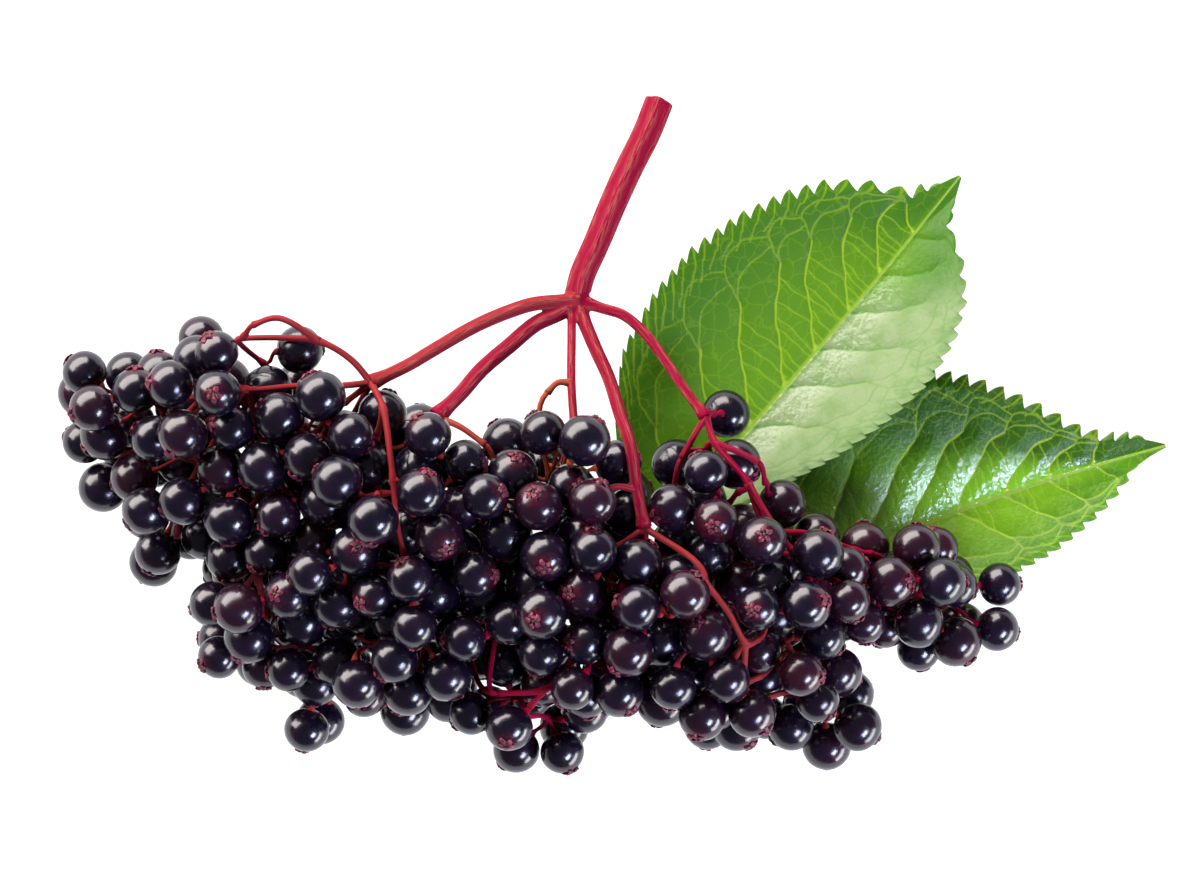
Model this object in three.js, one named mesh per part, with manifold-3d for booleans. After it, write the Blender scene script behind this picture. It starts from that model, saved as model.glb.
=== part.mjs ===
// Elderberry cluster: a cut umbel of ripe berries, lying on its side over two of its leaflets.
// Millimetres, +Z up. The origin is on the table, under the middle of the whole bunch.
//
// The red stem frame is one piece. Each spray of berries is a piece of its own, fused from its
// stalks and berries, and starts a hair's breadth past the twig that carries it. Each leaflet is
// a thin blade with toothed edges.

import * as THREE from 'three';
import { mergeVertices } from 'three/addons/utils/BufferGeometryUtils.js';
import Module from 'manifold-3d';

// ---------------------------------------------------------------- driving dimensions

const BERRY_RADIUS = 3.55;
const BERRY_SMALLEST = 0.9; // share of the berry radius
const BERRY_RANGE = 0.17; // from the smallest to the largest berry, as a share too
const PEDICEL_RADIUS = 0.4;
const PEDICEL_REACH = 5.6; // hub to berry centre, at the shortest
const PEDICEL_RANGE = 1.4;
const PEDICEL_LIMITS = [5.0, 8.8]; // how far settling may shorten or stretch it
const TWIG_RADII = [0.55, 0.45];
const SPRAY_STALK_RADII = [0.42, 0.36];
const SPRAY_START = 0.9; // from a twig's end to the middle of the spray that it carries
const HUB_RADIUS = 0.62; // the stalk's flare, where the pedicels meet
const HUB_NECK = 1.2; // how far before the hub the flare starts
const HUB_END = 0.35; // and how far past it the flare ends
const FORK_SWELL = 1.4; // knob at the end of a ray, as a share of the ray's radius
const BOX_HALF = [83.3, 50.7]; // half length and half width that the bunch stays within

// A hub's berries open like an umbrella. The shares are cosines of the angle off its axis.
const UMBRELLA_STEP = 0.4; // each further berry opens the umbrella by this much
const GOLDEN_ANGLE = Math.PI * (3 - Math.sqrt(5));
const UPPER_LIFT = 0.9; // upper hubs open upwards
const LOWER_LIFT = -0.4; // lower ones open towards the table
const LOWER_HEIGHT = 12.5;

// Which berries are solids here: a share of those at the outermost hubs. The core is left open.
const SOLID_HUBS = 80;
const SOLID_SHARE = 0.55;
const NEIGHBOURHOOD = 15; // how far the berries that may cover a berry are looked for
const SOLID_GAP = 0.15; // least space between the stalks of two sprays

const BLADE_THICKNESS = 0.6;
const RIB_DEPTH = 0.45; // the midrib stands proud under the blade
const TEETH = 31; // along each edge
const TOOTH_DEPTH = 0.95;
const TOOTH_LEAN = 0.7; // how far each tooth hooks towards the tip
const TOOTH_SHIFT = 0.4; // its point stands this share of a row beyond the middle
const TOOTHLESS_WIDTH = 1.6; // the stalk and the drawn-out tip have no teeth
const FULL_WIDTHS = [24, 15]; // half widths, left and right, at which a blade rises to the full

// Settling: in each step a berry takes these shares of what it still overlaps.
const SETTLE_STEPS = 120;
const SETTLE_RATE = 0.6;
const BERRY_GAP = 0.32; // clear space that settling leaves round each berry
const BERRY_PUSH = 0.5;
const PEDICEL_PUSH = 0.4;
const STALK_PUSH = 0.6;
const PEDICEL_PULL = 0.7;
const LEAF_GAP = 0.7; // over a leaflet's middle surface
const LEAF_SLOPE = 1.12; // a ball on a slope touches a little above its radius
const LEAF_AHEAD = 1.5; // a ball is kept clear of the blade this much further out
const LEAF_MARGIN = 0.04; // and this share of the length beyond base and tip

const SEED = 7;

// The main stems, from the cut end of the peduncle to where the rays fork.
const STEMS = [
  {
    name: 'peduncle',
    radii: [2.0, 1.75],
    path: [[6.35, 48.6, 9], [4.35, 43.6, 11], [1.85, 38.6, 13], [-0.65, 33.1, 15], [-3.15, 27.1, 17.5],
      [-5.15, 22.6, 19], [-6.15, 18.6, 20]],
  },
  {
    name: 'ray_a',
    radii: [0.95, 0.8],
    path: [[-5.65, 18.6, 20], [-8.15, 18.6, 21], [-12.15, 18.2, 22.5], [-15.65, 17.1, 24],
      [-19.65, 15.4, 25.5], [-23.15, 13.5, 27], [-27.15, 11.1, 28], [-30.65, 9, 29], [-35.65, 6.6, 30]],
  },
  {
    name: 'ray_b',
    radii: [1.15, 1.05],
    path: [[-6.15, 18.1, 20], [-9.15, 16.6, 21.5], [-12.15, 15.1, 23], [-15.65, 12.1, 25],
      [-19.65, 8.6, 27.5], [-22.65, 5.1, 29.5], [-26.15, 1.6, 31]],
  },
  {
    name: 'ray_c',
    radii: [0.65, 0.6],
    path: [[-6.65, 17.6, 20], [-6.65, 12.6, 25], [-6.65, 6.6, 30], [-6.15, -0.9, 34]],
  },
  {
    name: 'ray_d',
    radii: [1.0, 0.85],
    path: [[-5.65, 17.6, 20], [-3.15, 11.6, 24.5], [-1.15, 7.1, 27.5], [0.35, 2.1, 31],
      [1.85, -2.4, 33.5], [2.85, -8.9, 35], [3.85, -14.4, 35]],
  },
  {
    name: 'ray_e',
    radii: [0.85, 0.75],
    path: [[-5.15, 18.6, 20], [-2.15, 17.6, 21], [0.85, 16.6, 22], [3.35, 14.6, 23], [5.85, 11.6, 24.5],
      [9.85, 5.6, 27], [12.85, 1.6, 29]],
  },
];

// The twigs that carry the sprays. Each path starts on a stem or on another twig.
// A hub is [x, y, z, berries]: the point where that many pedicels meet.
const TWIGS = [
  {
    name: 'a1',
    path: [[-35.65, 6.6, 30], [-38.75, 10.1, 31], [-43.25, 12.6, 31], [-48.75, 13.1, 29],
      [-54.75, 13.1, 27]],
    hubs: [[-56.5, 11, 23, 3], [-51.7, 9.5, 23, 3]],
  },
  {
    name: 'a1b',
    path: [[-43.25, 12.6, 31], [-47.25, 15.3, 32.5], [-49.75, 15.9, 32], [-52.75, 14.9, 30.8]],
    hubs: [[-54.3, 13.3, 29, 1]],
  },
  {
    name: 'a2',
    path: [[-35.65, 6.6, 30], [-41.15, 6.1, 31], [-46.65, 6.1, 31], [-53.65, 5.6, 30],
      [-56.15, 7.1, 28.5]],
    hubs: [[-58, 5, 26.1, 4]],
  },
  {
    name: 'a2c',
    path: [[-53.65, 5.6, 30], [-54.15, 3.1, 27.5]],
    hubs: [[-54.5, 0.5, 22.5, 4]],
  },
  {
    name: 'a2b',
    path: [[-35.65, 6.6, 30], [-39.65, 3.6, 29]],
    hubs: [[-44.7, -1.3, 27, 4], [-42, 0.5, 28, 3]],
  },
  {
    name: 'a3',
    path: [[-53.65, 5.6, 30], [-60.15, 4.6, 26], [-66.65, 4.1, 20]],
    hubs: [[-68.5, 3.9, 17, 4], [-74, 4.9, 14, 3]],
  },
  {
    name: 'a4',
    path: [[-60.15, 4.6, 26], [-64.65, 0.6, 22], [-68.15, -1.9, 19]],
    hubs: [[-67.5, -1.3, 16, 4], [-73.5, -4, 12, 3]],
  },
  {
    name: 'a5',
    path: [[-53.65, 5.6, 30], [-57.65, 0.1, 25], [-60.65, -4.4, 23], [-63.15, -4.4, 22.5]],
    hubs: [[-63.5, -4, 19, 4]],
  },
  {
    name: 'a5b',
    path: [[-60.65, -4.4, 23], [-63.65, -9.9, 18]],
    hubs: [[-64.7, -10.5, 14, 4], [-65.4, -16, 11, 2]],
  },
  {
    name: 'a6',
    path: [[-32.15, -7.4, 38], [-30.15, -8.9, 36.5]],
    hubs: [[-27.5, -10.5, 33, 4], [-34, -9.5, 33, 4]],
  },
  {
    name: 'a6b',
    path: [[-33.65, 2.6, 35], [-34.65, -0.9, 32]],
    hubs: [[-41.2, -1.9, 29, 4]],
  },
  {
    name: 'a7',
    path: [[-35.65, 6.6, 30], [-33.65, 2.6, 35], [-32.65, -3.4, 37.5], [-32.15, -7.4, 38],
      [-31.65, -13.4, 38], [-30.65, -18.4, 36]],
    hubs: [[-31.5, -22.5, 31, 4], [-39, -19.5, 29, 4]],
  },
  {
    name: 'a8',
    path: [[-53.65, 5.6, 30], [-51.65, -2.4, 25], [-50.65, -7.4, 24], [-48.65, -8.9, 23.5]],
    hubs: [[-46.5, -11, 24.5, 4]],
  },
  {
    name: 'a8c',
    path: [[-51.65, -2.4, 25], [-54.15, -4.9, 23.5]],
    hubs: [[-56, -8, 22.5, 4]],
  },
  {
    name: 'a8b',
    path: [[-50.65, -7.4, 24], [-55.65, -14.4, 20]],
    hubs: [[-56.5, -16.5, 17, 3]],
  },
  {
    name: 'a9',
    path: [[-50.65, -7.4, 24], [-50.15, -15.9, 23], [-47.65, -19.9, 23]],
    hubs: [[-44.5, -23.5, 23, 4]],
  },
  {
    name: 'a9c',
    path: [[-50.15, -15.9, 23], [-52.65, -20.9, 22], [-52.65, -22.9, 21]],
    hubs: [[-51.9, -24.4, 21, 4]],
  },
  {
    name: 'a9b',
    path: [[-52.65, -20.9, 22], [-56.15, -24.9, 17]],
    hubs: [[-53.5, -26.5, 14, 3]],
  },
  {
    name: 'a10',
    path: [[-52.65, -20.9, 22], [-51.65, -27.9, 19], [-51.65, -31.4, 17]],
    hubs: [[-52.2, -31.7, 13, 4], [-44.3, -32.7, 16, 4]],
  },
  {
    name: 'b1',
    path: [[-26.15, 1.6, 31], [-28.65, -0.4, 31], [-30.65, -2.4, 30]],
    hubs: [[-34, -3, 28, 3]],
  },
  {
    name: 'b2',
    path: [[-26.15, 1.6, 31], [-22.65, 0.1, 33], [-19.15, -2.4, 33]],
    hubs: [[-24.7, -4.4, 30, 4], [-17.7, -9.2, 31, 4]],
  },
  {
    name: 'b3',
    path: [[-26.15, 1.6, 31], [-26.15, -3.9, 25], [-26.15, -11.4, 22], [-24.65, -12.9, 23]],
    hubs: [[-25.5, -16.5, 26, 4], [-19.5, -20, 28, 4]],
  },
  {
    name: 'b3c',
    path: [[-26.15, -11.4, 22], [-28.65, -12.9, 18]],
    hubs: [[-32.5, -13.5, 14, 3]],
  },
  {
    name: 'b4',
    path: [[-26.15, -11.4, 22], [-26.15, -20.4, 21], [-27.65, -26.4, 21], [-28.15, -28.4, 22.5]],
    hubs: [[-28, -30, 26, 4], [-36, -31.5, 23, 4]],
  },
  {
    name: 'b6',
    path: [[-26.15, -20.4, 21], [-23.65, -22.9, 18]],
    hubs: [[-20, -25, 15, 4]],
  },
  {
    name: 'b5',
    path: [[-27.65, -26.4, 21], [-30.65, -32.4, 18], [-33.15, -35.4, 17]],
    hubs: [[-31.6, -36.4, 16, 4], [-42, -37.5, 13, 4]],
  },
  {
    name: 'c1',
    path: [[-6.65, 6.6, 30], [-8.65, 6.6, 30.5], [-10.15, 5.1, 31]],
    hubs: [[-9.9, -7.6, 29, 4]],
  },
  {
    name: 'c2',
    path: [[-6.15, -0.9, 34], [-5.15, -3.4, 34]],
    hubs: [[-6, -6.5, 31, 4]],
  },
  {
    name: 'c3',
    path: [[-6.15, -0.9, 34], [-8.15, -6.9, 27], [-10.65, -11.4, 26]],
    hubs: [[-10, -15, 31, 4], [-16, -13.5, 28, 4]],
  },
  {
    name: 'd1',
    path: [[3.85, -14.4, 35], [1.85, -15.9, 36], [-0.65, -17.4, 36]],
    hubs: [[-3, -21, 33, 4], [-7.5, -25.5, 32, 4]],
  },
  {
    name: 'd2',
    path: [[2.85, -8.9, 35], [-0.15, -8.4, 36], [-2.65, -9.4, 35]],
    hubs: [[-3, -12, 32, 3]],
  },
  {
    name: 'd3',
    path: [[3.85, -14.4, 35], [4.35, -17.9, 33]],
    hubs: [[4.5, -19.1, 29, 3], [0.5, -24, 31, 4]],
  },
  {
    name: 'e1',
    path: [[12.85, 1.6, 29], [13.35, 2.1, 27]],
    hubs: [[14.1, 2.1, 24.6, 1]],
  },
  {
    name: 'e1b',
    path: [[12.85, 1.6, 29], [13.85, -1.4, 27.5]],
    hubs: [[13.3, -2.7, 24.5, 2]],
  },
  {
    name: 'e2',
    path: [[12.85, 1.6, 29], [11.35, -0.9, 29.5], [9.35, -4.4, 29]],
    hubs: [[8.1, -11.9, 27, 2]],
  },
  {
    name: 'e3',
    path: [[12.85, 1.6, 29], [14.35, -2.4, 30.5], [18.85, -7.9, 32], [17.35, -9.4, 31]],
    hubs: [[16, -11, 29, 4]],
  },
  {
    name: 'e3b',
    path: [[14.35, -2.4, 30.5], [17.35, -3.4, 31], [20.35, -4.9, 30]],
    hubs: [[21.6, -8, 27.5, 1]],
  },
  {
    name: 'e4',
    path: [[18.85, -7.9, 32], [21.85, -12.9, 32], [25.35, -17.9, 31]],
    hubs: [[21, -18, 28, 4], [28.5, -21.5, 27, 4]],
  },
  {
    name: 'e5',
    path: [[18.85, -7.9, 32], [21.85, -14.4, 30], [27.85, -15.4, 28], [34.85, -17.9, 25],
      [37.35, -18.4, 24]],
    hubs: [[41.1, -21.5, 20, 3]],
  },
  {
    name: 'e5b',
    path: [[34.85, -17.9, 25], [33.35, -19.9, 23]],
    hubs: [[33.5, -22, 20, 4]],
  },
  {
    name: 'e6',
    path: [[34.85, -17.9, 25], [38.35, -24.9, 21], [37.85, -27.4, 19.5]],
    hubs: [[37.2, -25.6, 17, 4]],
  },
  {
    name: 'e6b',
    path: [[38.35, -24.9, 21], [42.35, -24.4, 19.5]],
    hubs: [[44.4, -24.8, 17, 4]],
  },
  {
    name: 'e7',
    path: [[38.35, -24.9, 21], [44.85, -29.4, 17]],
    hubs: [[45.5, -27.8, 14, 4], [48.5, -26.1, 13, 3]],
  },
  {
    name: 'f1',
    path: [[3.85, -14.4, 35], [10.85, -18.9, 38], [12.35, -21.9, 38.5], [9.35, -24.9, 38]],
    hubs: [[6.5, -26, 34, 4], [10.5, -30.5, 33, 3]],
  },
  {
    name: 'f2',
    path: [[12.35, -21.9, 38.5], [15.85, -26.4, 38], [18.35, -30.9, 37], [20.35, -30.4, 35]],
    hubs: [[22.5, -26.5, 31.5, 4]],
  },
  {
    name: 'f2b',
    path: [[18.35, -30.9, 37], [16.85, -32.9, 35]],
    hubs: [[15, -34, 31, 4]],
  },
  {
    name: 'f3',
    path: [[18.35, -30.9, 37], [18.35, -36.9, 32], [19.35, -39.9, 30], [18.35, -41.9, 28]],
    hubs: [[17.5, -38.5, 22, 4]],
  },
  {
    name: 'f3b',
    path: [[18.35, -36.9, 32], [20.85, -35.9, 30]],
    hubs: [[24.5, -33, 26, 4]],
  },
  {
    name: 'f4',
    path: [[19.35, -39.9, 30], [24.85, -38.4, 27], [29.35, -38.4, 25]],
    hubs: [[24.9, -31.6, 23, 4], [30, -41.2, 18, 4]],
  },
  {
    name: 'g0',
    path: [[3.85, -14.4, 35], [-0.15, -20.4, 28], [-3.65, -29.4, 28], [-1.65, -30.9, 28.5]],
    hubs: [[1.5, -29.5, 30.5, 4], [-3.5, -31, 31.5, 3]],
  },
  {
    name: 'g1',
    path: [[-3.65, -29.4, 28], [-8.15, -35.4, 32], [-10.65, -37.9, 33], [-17.15, -38.4, 32]],
    hubs: [[-17.8, -28.2, 28, 4], [-21.8, -32.7, 22, 4]],
  },
  {
    name: 'g2',
    path: [[-10.65, -37.9, 33], [-12.65, -40.4, 32]],
    hubs: [[-14.8, -39.2, 26, 4], [-10.1, -42.6, 22, 4]],
  },
  {
    name: 'g3',
    path: [[-3.65, -29.4, 28], [-2.15, -34.4, 27]],
    hubs: [[-5, -33.5, 24, 4], [2, -31.7, 24, 4]],
  },
  {
    name: 'g4',
    path: [[12.35, -21.9, 38.5], [11.35, -27.9, 33], [8.35, -33.9, 28], [6.85, -34.9, 27]],
    hubs: [[8.5, -31.5, 25, 4], [14, -36, 20, 4]],
  },
  {
    name: 'h1',
    path: [[-35.65, 6.6, 30], [-39.65, 0.6, 18]],
    hubs: [[-46.5, -3, 11, 3], [-39, -8, 10, 3]],
  },
  {
    name: 'h2',
    path: [[-60.15, 4.6, 26], [-58.65, -0.9, 16]],
    hubs: [[-62.5, -3, 10, 3], [-55.5, -9, 10, 3]],
  },
  {
    name: 'h3',
    path: [[-50.65, -7.4, 24], [-47.15, -14.4, 15]],
    hubs: [[-51, -17, 9, 3], [-43.5, -19.5, 9, 3]],
  },
  {
    name: 'h4',
    path: [[-26.15, 1.6, 31], [-25.65, -3.9, 20], [-26.15, -8.4, 16]],
    hubs: [[-31.5, -6, 12, 3], [-24, -15, 10, 3]],
  },
  {
    name: 'h5',
    path: [[-27.65, -26.4, 21], [-32.15, -27.9, 14]],
    hubs: [[-40, -27, 9, 3], [-32.5, -21, 10, 3], [-29.5, -34.5, 9, 3]],
  },
  {
    name: 'h6',
    path: [[-6.15, -0.9, 34], [-8.15, -5.4, 18]],
    hubs: [[-12.3, -8.5, 11, 3], [-5.5, -10.5, 12, 3]],
  },
  {
    name: 'h7',
    path: [[-3.65, -29.4, 28], [-8.15, -29.4, 17]],
    hubs: [[-10.5, -21, 11, 3], [-15, -28.5, 10, 3], [-7.5, -36, 10, 3]],
  },
  {
    name: 'h8',
    path: [[3.85, -14.4, 35], [4.35, -17.9, 22]],
    hubs: [[1.5, -19.5, 14, 3], [7.5, -24, 14, 3]],
  },
  {
    name: 'h9',
    path: [[12.35, -21.9, 38.5], [14.85, -26.4, 20]],
    hubs: [[15.5, -21, 17, 3], [22.5, -27, 14, 3]],
  },
  {
    name: 'h10',
    path: [[8.35, -33.9, 28], [11.35, -35.4, 16]],
    hubs: [[6, -34.5, 10, 3], [16.5, -39, 10, 3], [24, -37.5, 11, 3]],
  },
];

// The leaflets. rib is base to tip; a width pair is [share of the length, half width].
const LEAVES = [
  {
    name: 'leaf_1',
    base: [5.6, -16.2],
    tip: [51.8, 38],
    bow: -0.6,
    ribHeights: [6.5, 4.6, 1.6, -0.6],
    left: [[0, 0.6], [0.04, 0.6], [0.07, 11.5], [0.15, 17.2], [0.25, 21.6], [0.38, 23.6], [0.5, 23.7],
      [0.62, 21.6], [0.72, 18.4], [0.8, 14.6], [0.86, 9.2], [0.9, 4.0], [0.95, 2.1], [1, 0.3]],
    right: [[0, 0.6], [0.04, 0.6], [0.1, 4.2], [0.2, 7.6], [0.27, 9.4], [0.38, 12.3], [0.5, 14.4],
      [0.62, 15.4], [0.72, 14.3], [0.8, 11.9], [0.86, 7.9], [0.9, 3.3], [0.95, 1.8], [1, 0.3]],
    rise: [2.5, 8.5],
    color: 0x5f9e28,
  },
  {
    name: 'leaf_2',
    base: [18.1, -26.4],
    tip: [82.8, -2.6],
    bow: 1.6,
    ribHeights: [2.8, 0.2, -0.4, -0.6],
    left: [[0, 0.6], [0.04, 0.6], [0.07, 8.5], [0.13, 14], [0.22, 18.6], [0.35, 21.3], [0.47, 21.6],
      [0.56, 20.8], [0.64, 17.8], [0.71, 13.9], [0.77, 9.9], [0.83, 5.4], [0.88, 3.3], [0.94, 2.6], [1, 0.3]],
    right: [[0, 0.6], [0.04, 0.6], [0.07, 5.7], [0.12, 7.9], [0.22, 9.6], [0.35, 10.9], [0.5, 11.2],
      [0.6, 11.2], [0.68, 10.3], [0.75, 8.6], [0.81, 6.8], [0.86, 4.8], [0.91, 2.3], [0.96, 1], [1, 0.3]],
    rise: [1.2, 5.5],
    color: 0x4f8f20,
  },
];

// ---------------------------------------------------------------- small helpers

const wasm = await Module();
wasm.setup();

// Repeatable random numbers between 0 and 1.
function randomDraws(seed) {
  let state = seed;
  return () => {
    state = (state * 1664525 + 1013904223) % 4294967296;
    return state / 4294967296;
  };
}

const vector = (xyz) => new THREE.Vector3(xyz[0], xyz[1], xyz[2]);

const mix = (a, b, share) => a + (b - a) * share;

// A direction that no stalk runs along, to measure turns about a stalk from.
const ASIDE = new THREE.Vector3(0.31, 0.93, 0.17);

// Reads a list of [position, value] pairs, in straight steps.
function readProfile(pairs, at) {
  for (let i = 1; i < pairs.length; i++) {
    if (at <= pairs[i][0]) {
      const share = (at - pairs[i - 1][0]) / (pairs[i][0] - pairs[i - 1][0]);
      return mix(pairs[i - 1][1], pairs[i][1], share);
    }
  }
  return pairs[pairs.length - 1][1];
}

function toSolid(geometry) {
  const plain = geometry.clone();
  plain.deleteAttribute('normal');
  plain.deleteAttribute('uv');
  const merged = mergeVertices(plain, 1e-4);
  const mesh = new wasm.Mesh({
    numProp: 3,
    vertProperties: new Float32Array(merged.attributes.position.array),
    triVerts: new Uint32Array(merged.index.array),
  });
  return new wasm.Manifold(mesh);
}

function toGeometry(solid) {
  const mesh = solid.getMesh();
  const geometry = new THREE.BufferGeometry();
  geometry.setAttribute('position', new THREE.BufferAttribute(new Float32Array(mesh.vertProperties), 3));
  geometry.setIndex(Array.from(mesh.triVerts));
  return geometry;
}

function facedGeometry(points, triangles) {
  const geometry = new THREE.BufferGeometry();
  geometry.setAttribute('position', new THREE.Float32BufferAttribute(points.flat(), 3));
  geometry.setIndex(triangles.flat());
  return geometry;
}

function joinAll(solids) {
  let joined = solids[0];
  for (const next of solids.slice(1)) joined = joined.add(next);
  return joined;
}

// A closed tube through the points, with flat ends and a radius that tapers evenly.
function tube(points, radii, sides) {
  const spine = points.map(vector);
  const last = spine.length - 1;
  const ring = [];
  let side = null;
  for (let i = 0; i <= last; i++) {
    const before = spine[Math.max(i - 1, 0)];
    const after = spine[Math.min(i + 1, last)];
    const along = after.clone().sub(before).normalize();
    if (!side) side = ASIDE.clone().cross(along);
    side = side.sub(along.clone().multiplyScalar(side.dot(along))).normalize();
    const up = along.clone().cross(side);
    const radius = mix(radii[0], radii[1], i / last);
    for (let k = 0; k < sides; k++) {
      const turn = (k / sides) * 2 * Math.PI;
      const out = side.clone().multiplyScalar(Math.cos(turn)).addScaledVector(up, Math.sin(turn));
      ring.push(spine[i].clone().addScaledVector(out, radius).toArray());
    }
  }
  const faces = [];
  for (let i = 0; i < last; i++) {
    for (let k = 0; k < sides; k++) {
      const a = i * sides + k;
      const b = i * sides + ((k + 1) % sides);
      faces.push([a, b, b + sides], [a, b + sides, a + sides]);
    }
  }
  for (let k = 1; k < sides - 1; k++) {
    faces.push([0, k + 1, k]);
    faces.push([last * sides, last * sides + k, last * sides + k + 1]);
  }
  return toSolid(facedGeometry(ring, faces));
}

// The slight swelling where stems fork.
function knob(centre, radius) {
  return toSolid(new THREE.OctahedronGeometry(radius, 0).translate(centre.x, centre.y, centre.z));
}

// ---------------------------------------------------------------- where the berries hang

// Every straight piece of stem, twig and spray stalk, as a round bar for the berries to clear.
function layOutBars() {
  const bars = [];
  const addPath = (owner, points, radii) => {
    const count = points.length - 1;
    for (let i = 0; i < count; i++) {
      const radius = mix(radii[0], radii[1], (i + 0.5) / count);
      bars.push({ owner, from: vector(points[i]), to: vector(points[i + 1]), radius });
    }
  };
  for (const stem of STEMS) addPath('stem', stem.path, stem.radii);
  for (const twig of TWIGS) {
    addPath('stem', twig.path, TWIG_RADII);
    const end = twig.path[twig.path.length - 1];
    for (const hub of twig.hubs) addPath(twig.name, [end, hub], SPRAY_STALK_RADII);
  }
  return bars;
}

// How much an umbrella leans up or down. A lone berry hangs straight on.
function umbrellaLift(height, count) {
  if (count === 1) return 0;
  return height > LOWER_HEIGHT ? UPPER_LIFT : LOWER_LIFT;
}

// Each hub's pedicels open like an umbrella about the line on which its stalk arrives.
function hangBerries() {
  const random = randomDraws(SEED);
  const berries = [];
  for (const twig of TWIGS) {
    const end = vector(twig.path[twig.path.length - 1]);
    for (const [x, y, z, count] of twig.hubs) {
      const hub = new THREE.Vector3(x, y, z);
      const lift = umbrellaLift(z, count);
      const axis = hub.clone().sub(end).normalize().add(new THREE.Vector3(0, 0, lift)).normalize();
      const across = axis.clone().cross(ASIDE).normalize();
      const upright = axis.clone().cross(across);
      const firstTurn = random() * 2 * Math.PI;
      const widest = 1 - UMBRELLA_STEP * (count - 1);
      for (let i = 0; i < count; i++) {
        const lean = 1 - ((i + 0.5) / count) * (1 - widest);
        const spread = Math.sqrt(1 - lean * lean);
        const turn = firstTurn + i * GOLDEN_ANGLE;
        const reach = PEDICEL_REACH + PEDICEL_RANGE * random();
        const radius = BERRY_RADIUS * (BERRY_SMALLEST + BERRY_RANGE * random());
        const centre = hub.clone();
        centre.addScaledVector(axis, lean * reach);
        centre.addScaledVector(across, Math.cos(turn) * spread * reach);
        centre.addScaledVector(upright, Math.sin(turn) * spread * reach);
        berries.push({ spray: twig.name, hub, centre, radius });
      }
    }
  }
  return berries;
}

// The nearest point of a bar to a point, and how far along the bar it is.
function nearestOnBar(from, to, point) {
  const bar = to.clone().sub(from);
  const share = THREE.MathUtils.clamp(point.clone().sub(from).dot(bar) / (bar.lengthSq() + 1e-9), 0, 1);
  return [from.clone().addScaledVector(bar, share), share];
}

// The push that moves a ball clear of a point, or nothing where it is clear already.
function pushAway(point, other, clearance) {
  const away = point.clone().sub(other);
  const distance = away.length() + 1e-9;
  const short = clearance - distance;
  return short > 0 ? away.multiplyScalar(short / distance) : null;
}

// Moves the berries, a little at a time, until they lie clear of each other, of all stalks, of
// the leaflets and of the table, while each pedicel keeps its reach.
function settle(berries, bars) {
  for (let step = 0; step < SETTLE_STEPS; step++) {
    const moves = berries.map(() => new THREE.Vector3());
    for (let i = 0; i < berries.length; i++) {
      const berry = berries[i];
      for (let j = 0; j < berries.length; j++) {
        if (i === j) continue;
        const other = berries[j];
        const clear = berry.radius + other.radius + BERRY_GAP;
        const apart = pushAway(berry.centre, other.centre, clear);
        if (apart) moves[i].addScaledVector(apart, BERRY_PUSH);
        const [near, share] = nearestOnBar(other.hub, other.centre, berry.centre);
        const off = pushAway(berry.centre, near, berry.radius + PEDICEL_RADIUS + BERRY_GAP);
        if (off) {
          moves[i].addScaledVector(off, PEDICEL_PUSH);
          moves[j].addScaledVector(off, -PEDICEL_PUSH * share);
        }
      }
      for (const bar of bars) {
        const [near] = nearestOnBar(bar.from, bar.to, berry.centre);
        const off = pushAway(berry.centre, near, berry.radius + bar.radius + BERRY_GAP);
        if (off) moves[i].addScaledVector(off, STALK_PUSH);
      }
      const pedicel = berry.centre.clone().sub(berry.hub);
      const reach = pedicel.length();
      const kept = THREE.MathUtils.clamp(reach, PEDICEL_LIMITS[0], PEDICEL_LIMITS[1]);
      moves[i].addScaledVector(pedicel, ((kept - reach) / reach) * PEDICEL_PULL);
    }
    berries.forEach((berry, i) => {
      const { centre, radius } = berry;
      centre.addScaledVector(moves[i], SETTLE_RATE);
      centre.z = Math.max(centre.z, radius, leafTopUnder(centre.x, centre.y, radius));
      centre.x = Math.max(centre.x, radius - BOX_HALF[0]);
      centre.y = Math.max(centre.y, radius - BOX_HALF[1]);
    });
  }
}

// ---------------------------------------------------------------- leaflets

function leafFrame(leaf) {
  const base = new THREE.Vector2(leaf.base[0], leaf.base[1]);
  const along = new THREE.Vector2(leaf.tip[0], leaf.tip[1]).sub(base);
  const length = along.length();
  along.normalize();
  return { base, along, length, left: new THREE.Vector2(-along.y, along.x) };
}

const ribBow = (leaf, share) => leaf.bow * 4 * share * (1 - share);

function ribHeight(leaf, share) {
  const [a, b, c, d] = leaf.ribHeights;
  const rest = 1 - share;
  return a * rest ** 3 + 3 * b * rest * rest * share + 3 * c * rest * share * share + d * share ** 3;
}

// Height of the blade's middle surface. across runs from 0 at the rib to 1 at the edge.
function bladeHeight(leaf, side, share, across) {
  const width = readProfile(side > 0 ? leaf.left : leaf.right, share);
  const index = side > 0 ? 0 : 1;
  const fold = leaf.rise[index] * Math.min(width / FULL_WIDTHS[index], 1);
  const height = ribHeight(leaf, share) + (fold * (across + across * across)) / 2;
  return Math.max(height, BLADE_THICKNESS / 2);
}

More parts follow.
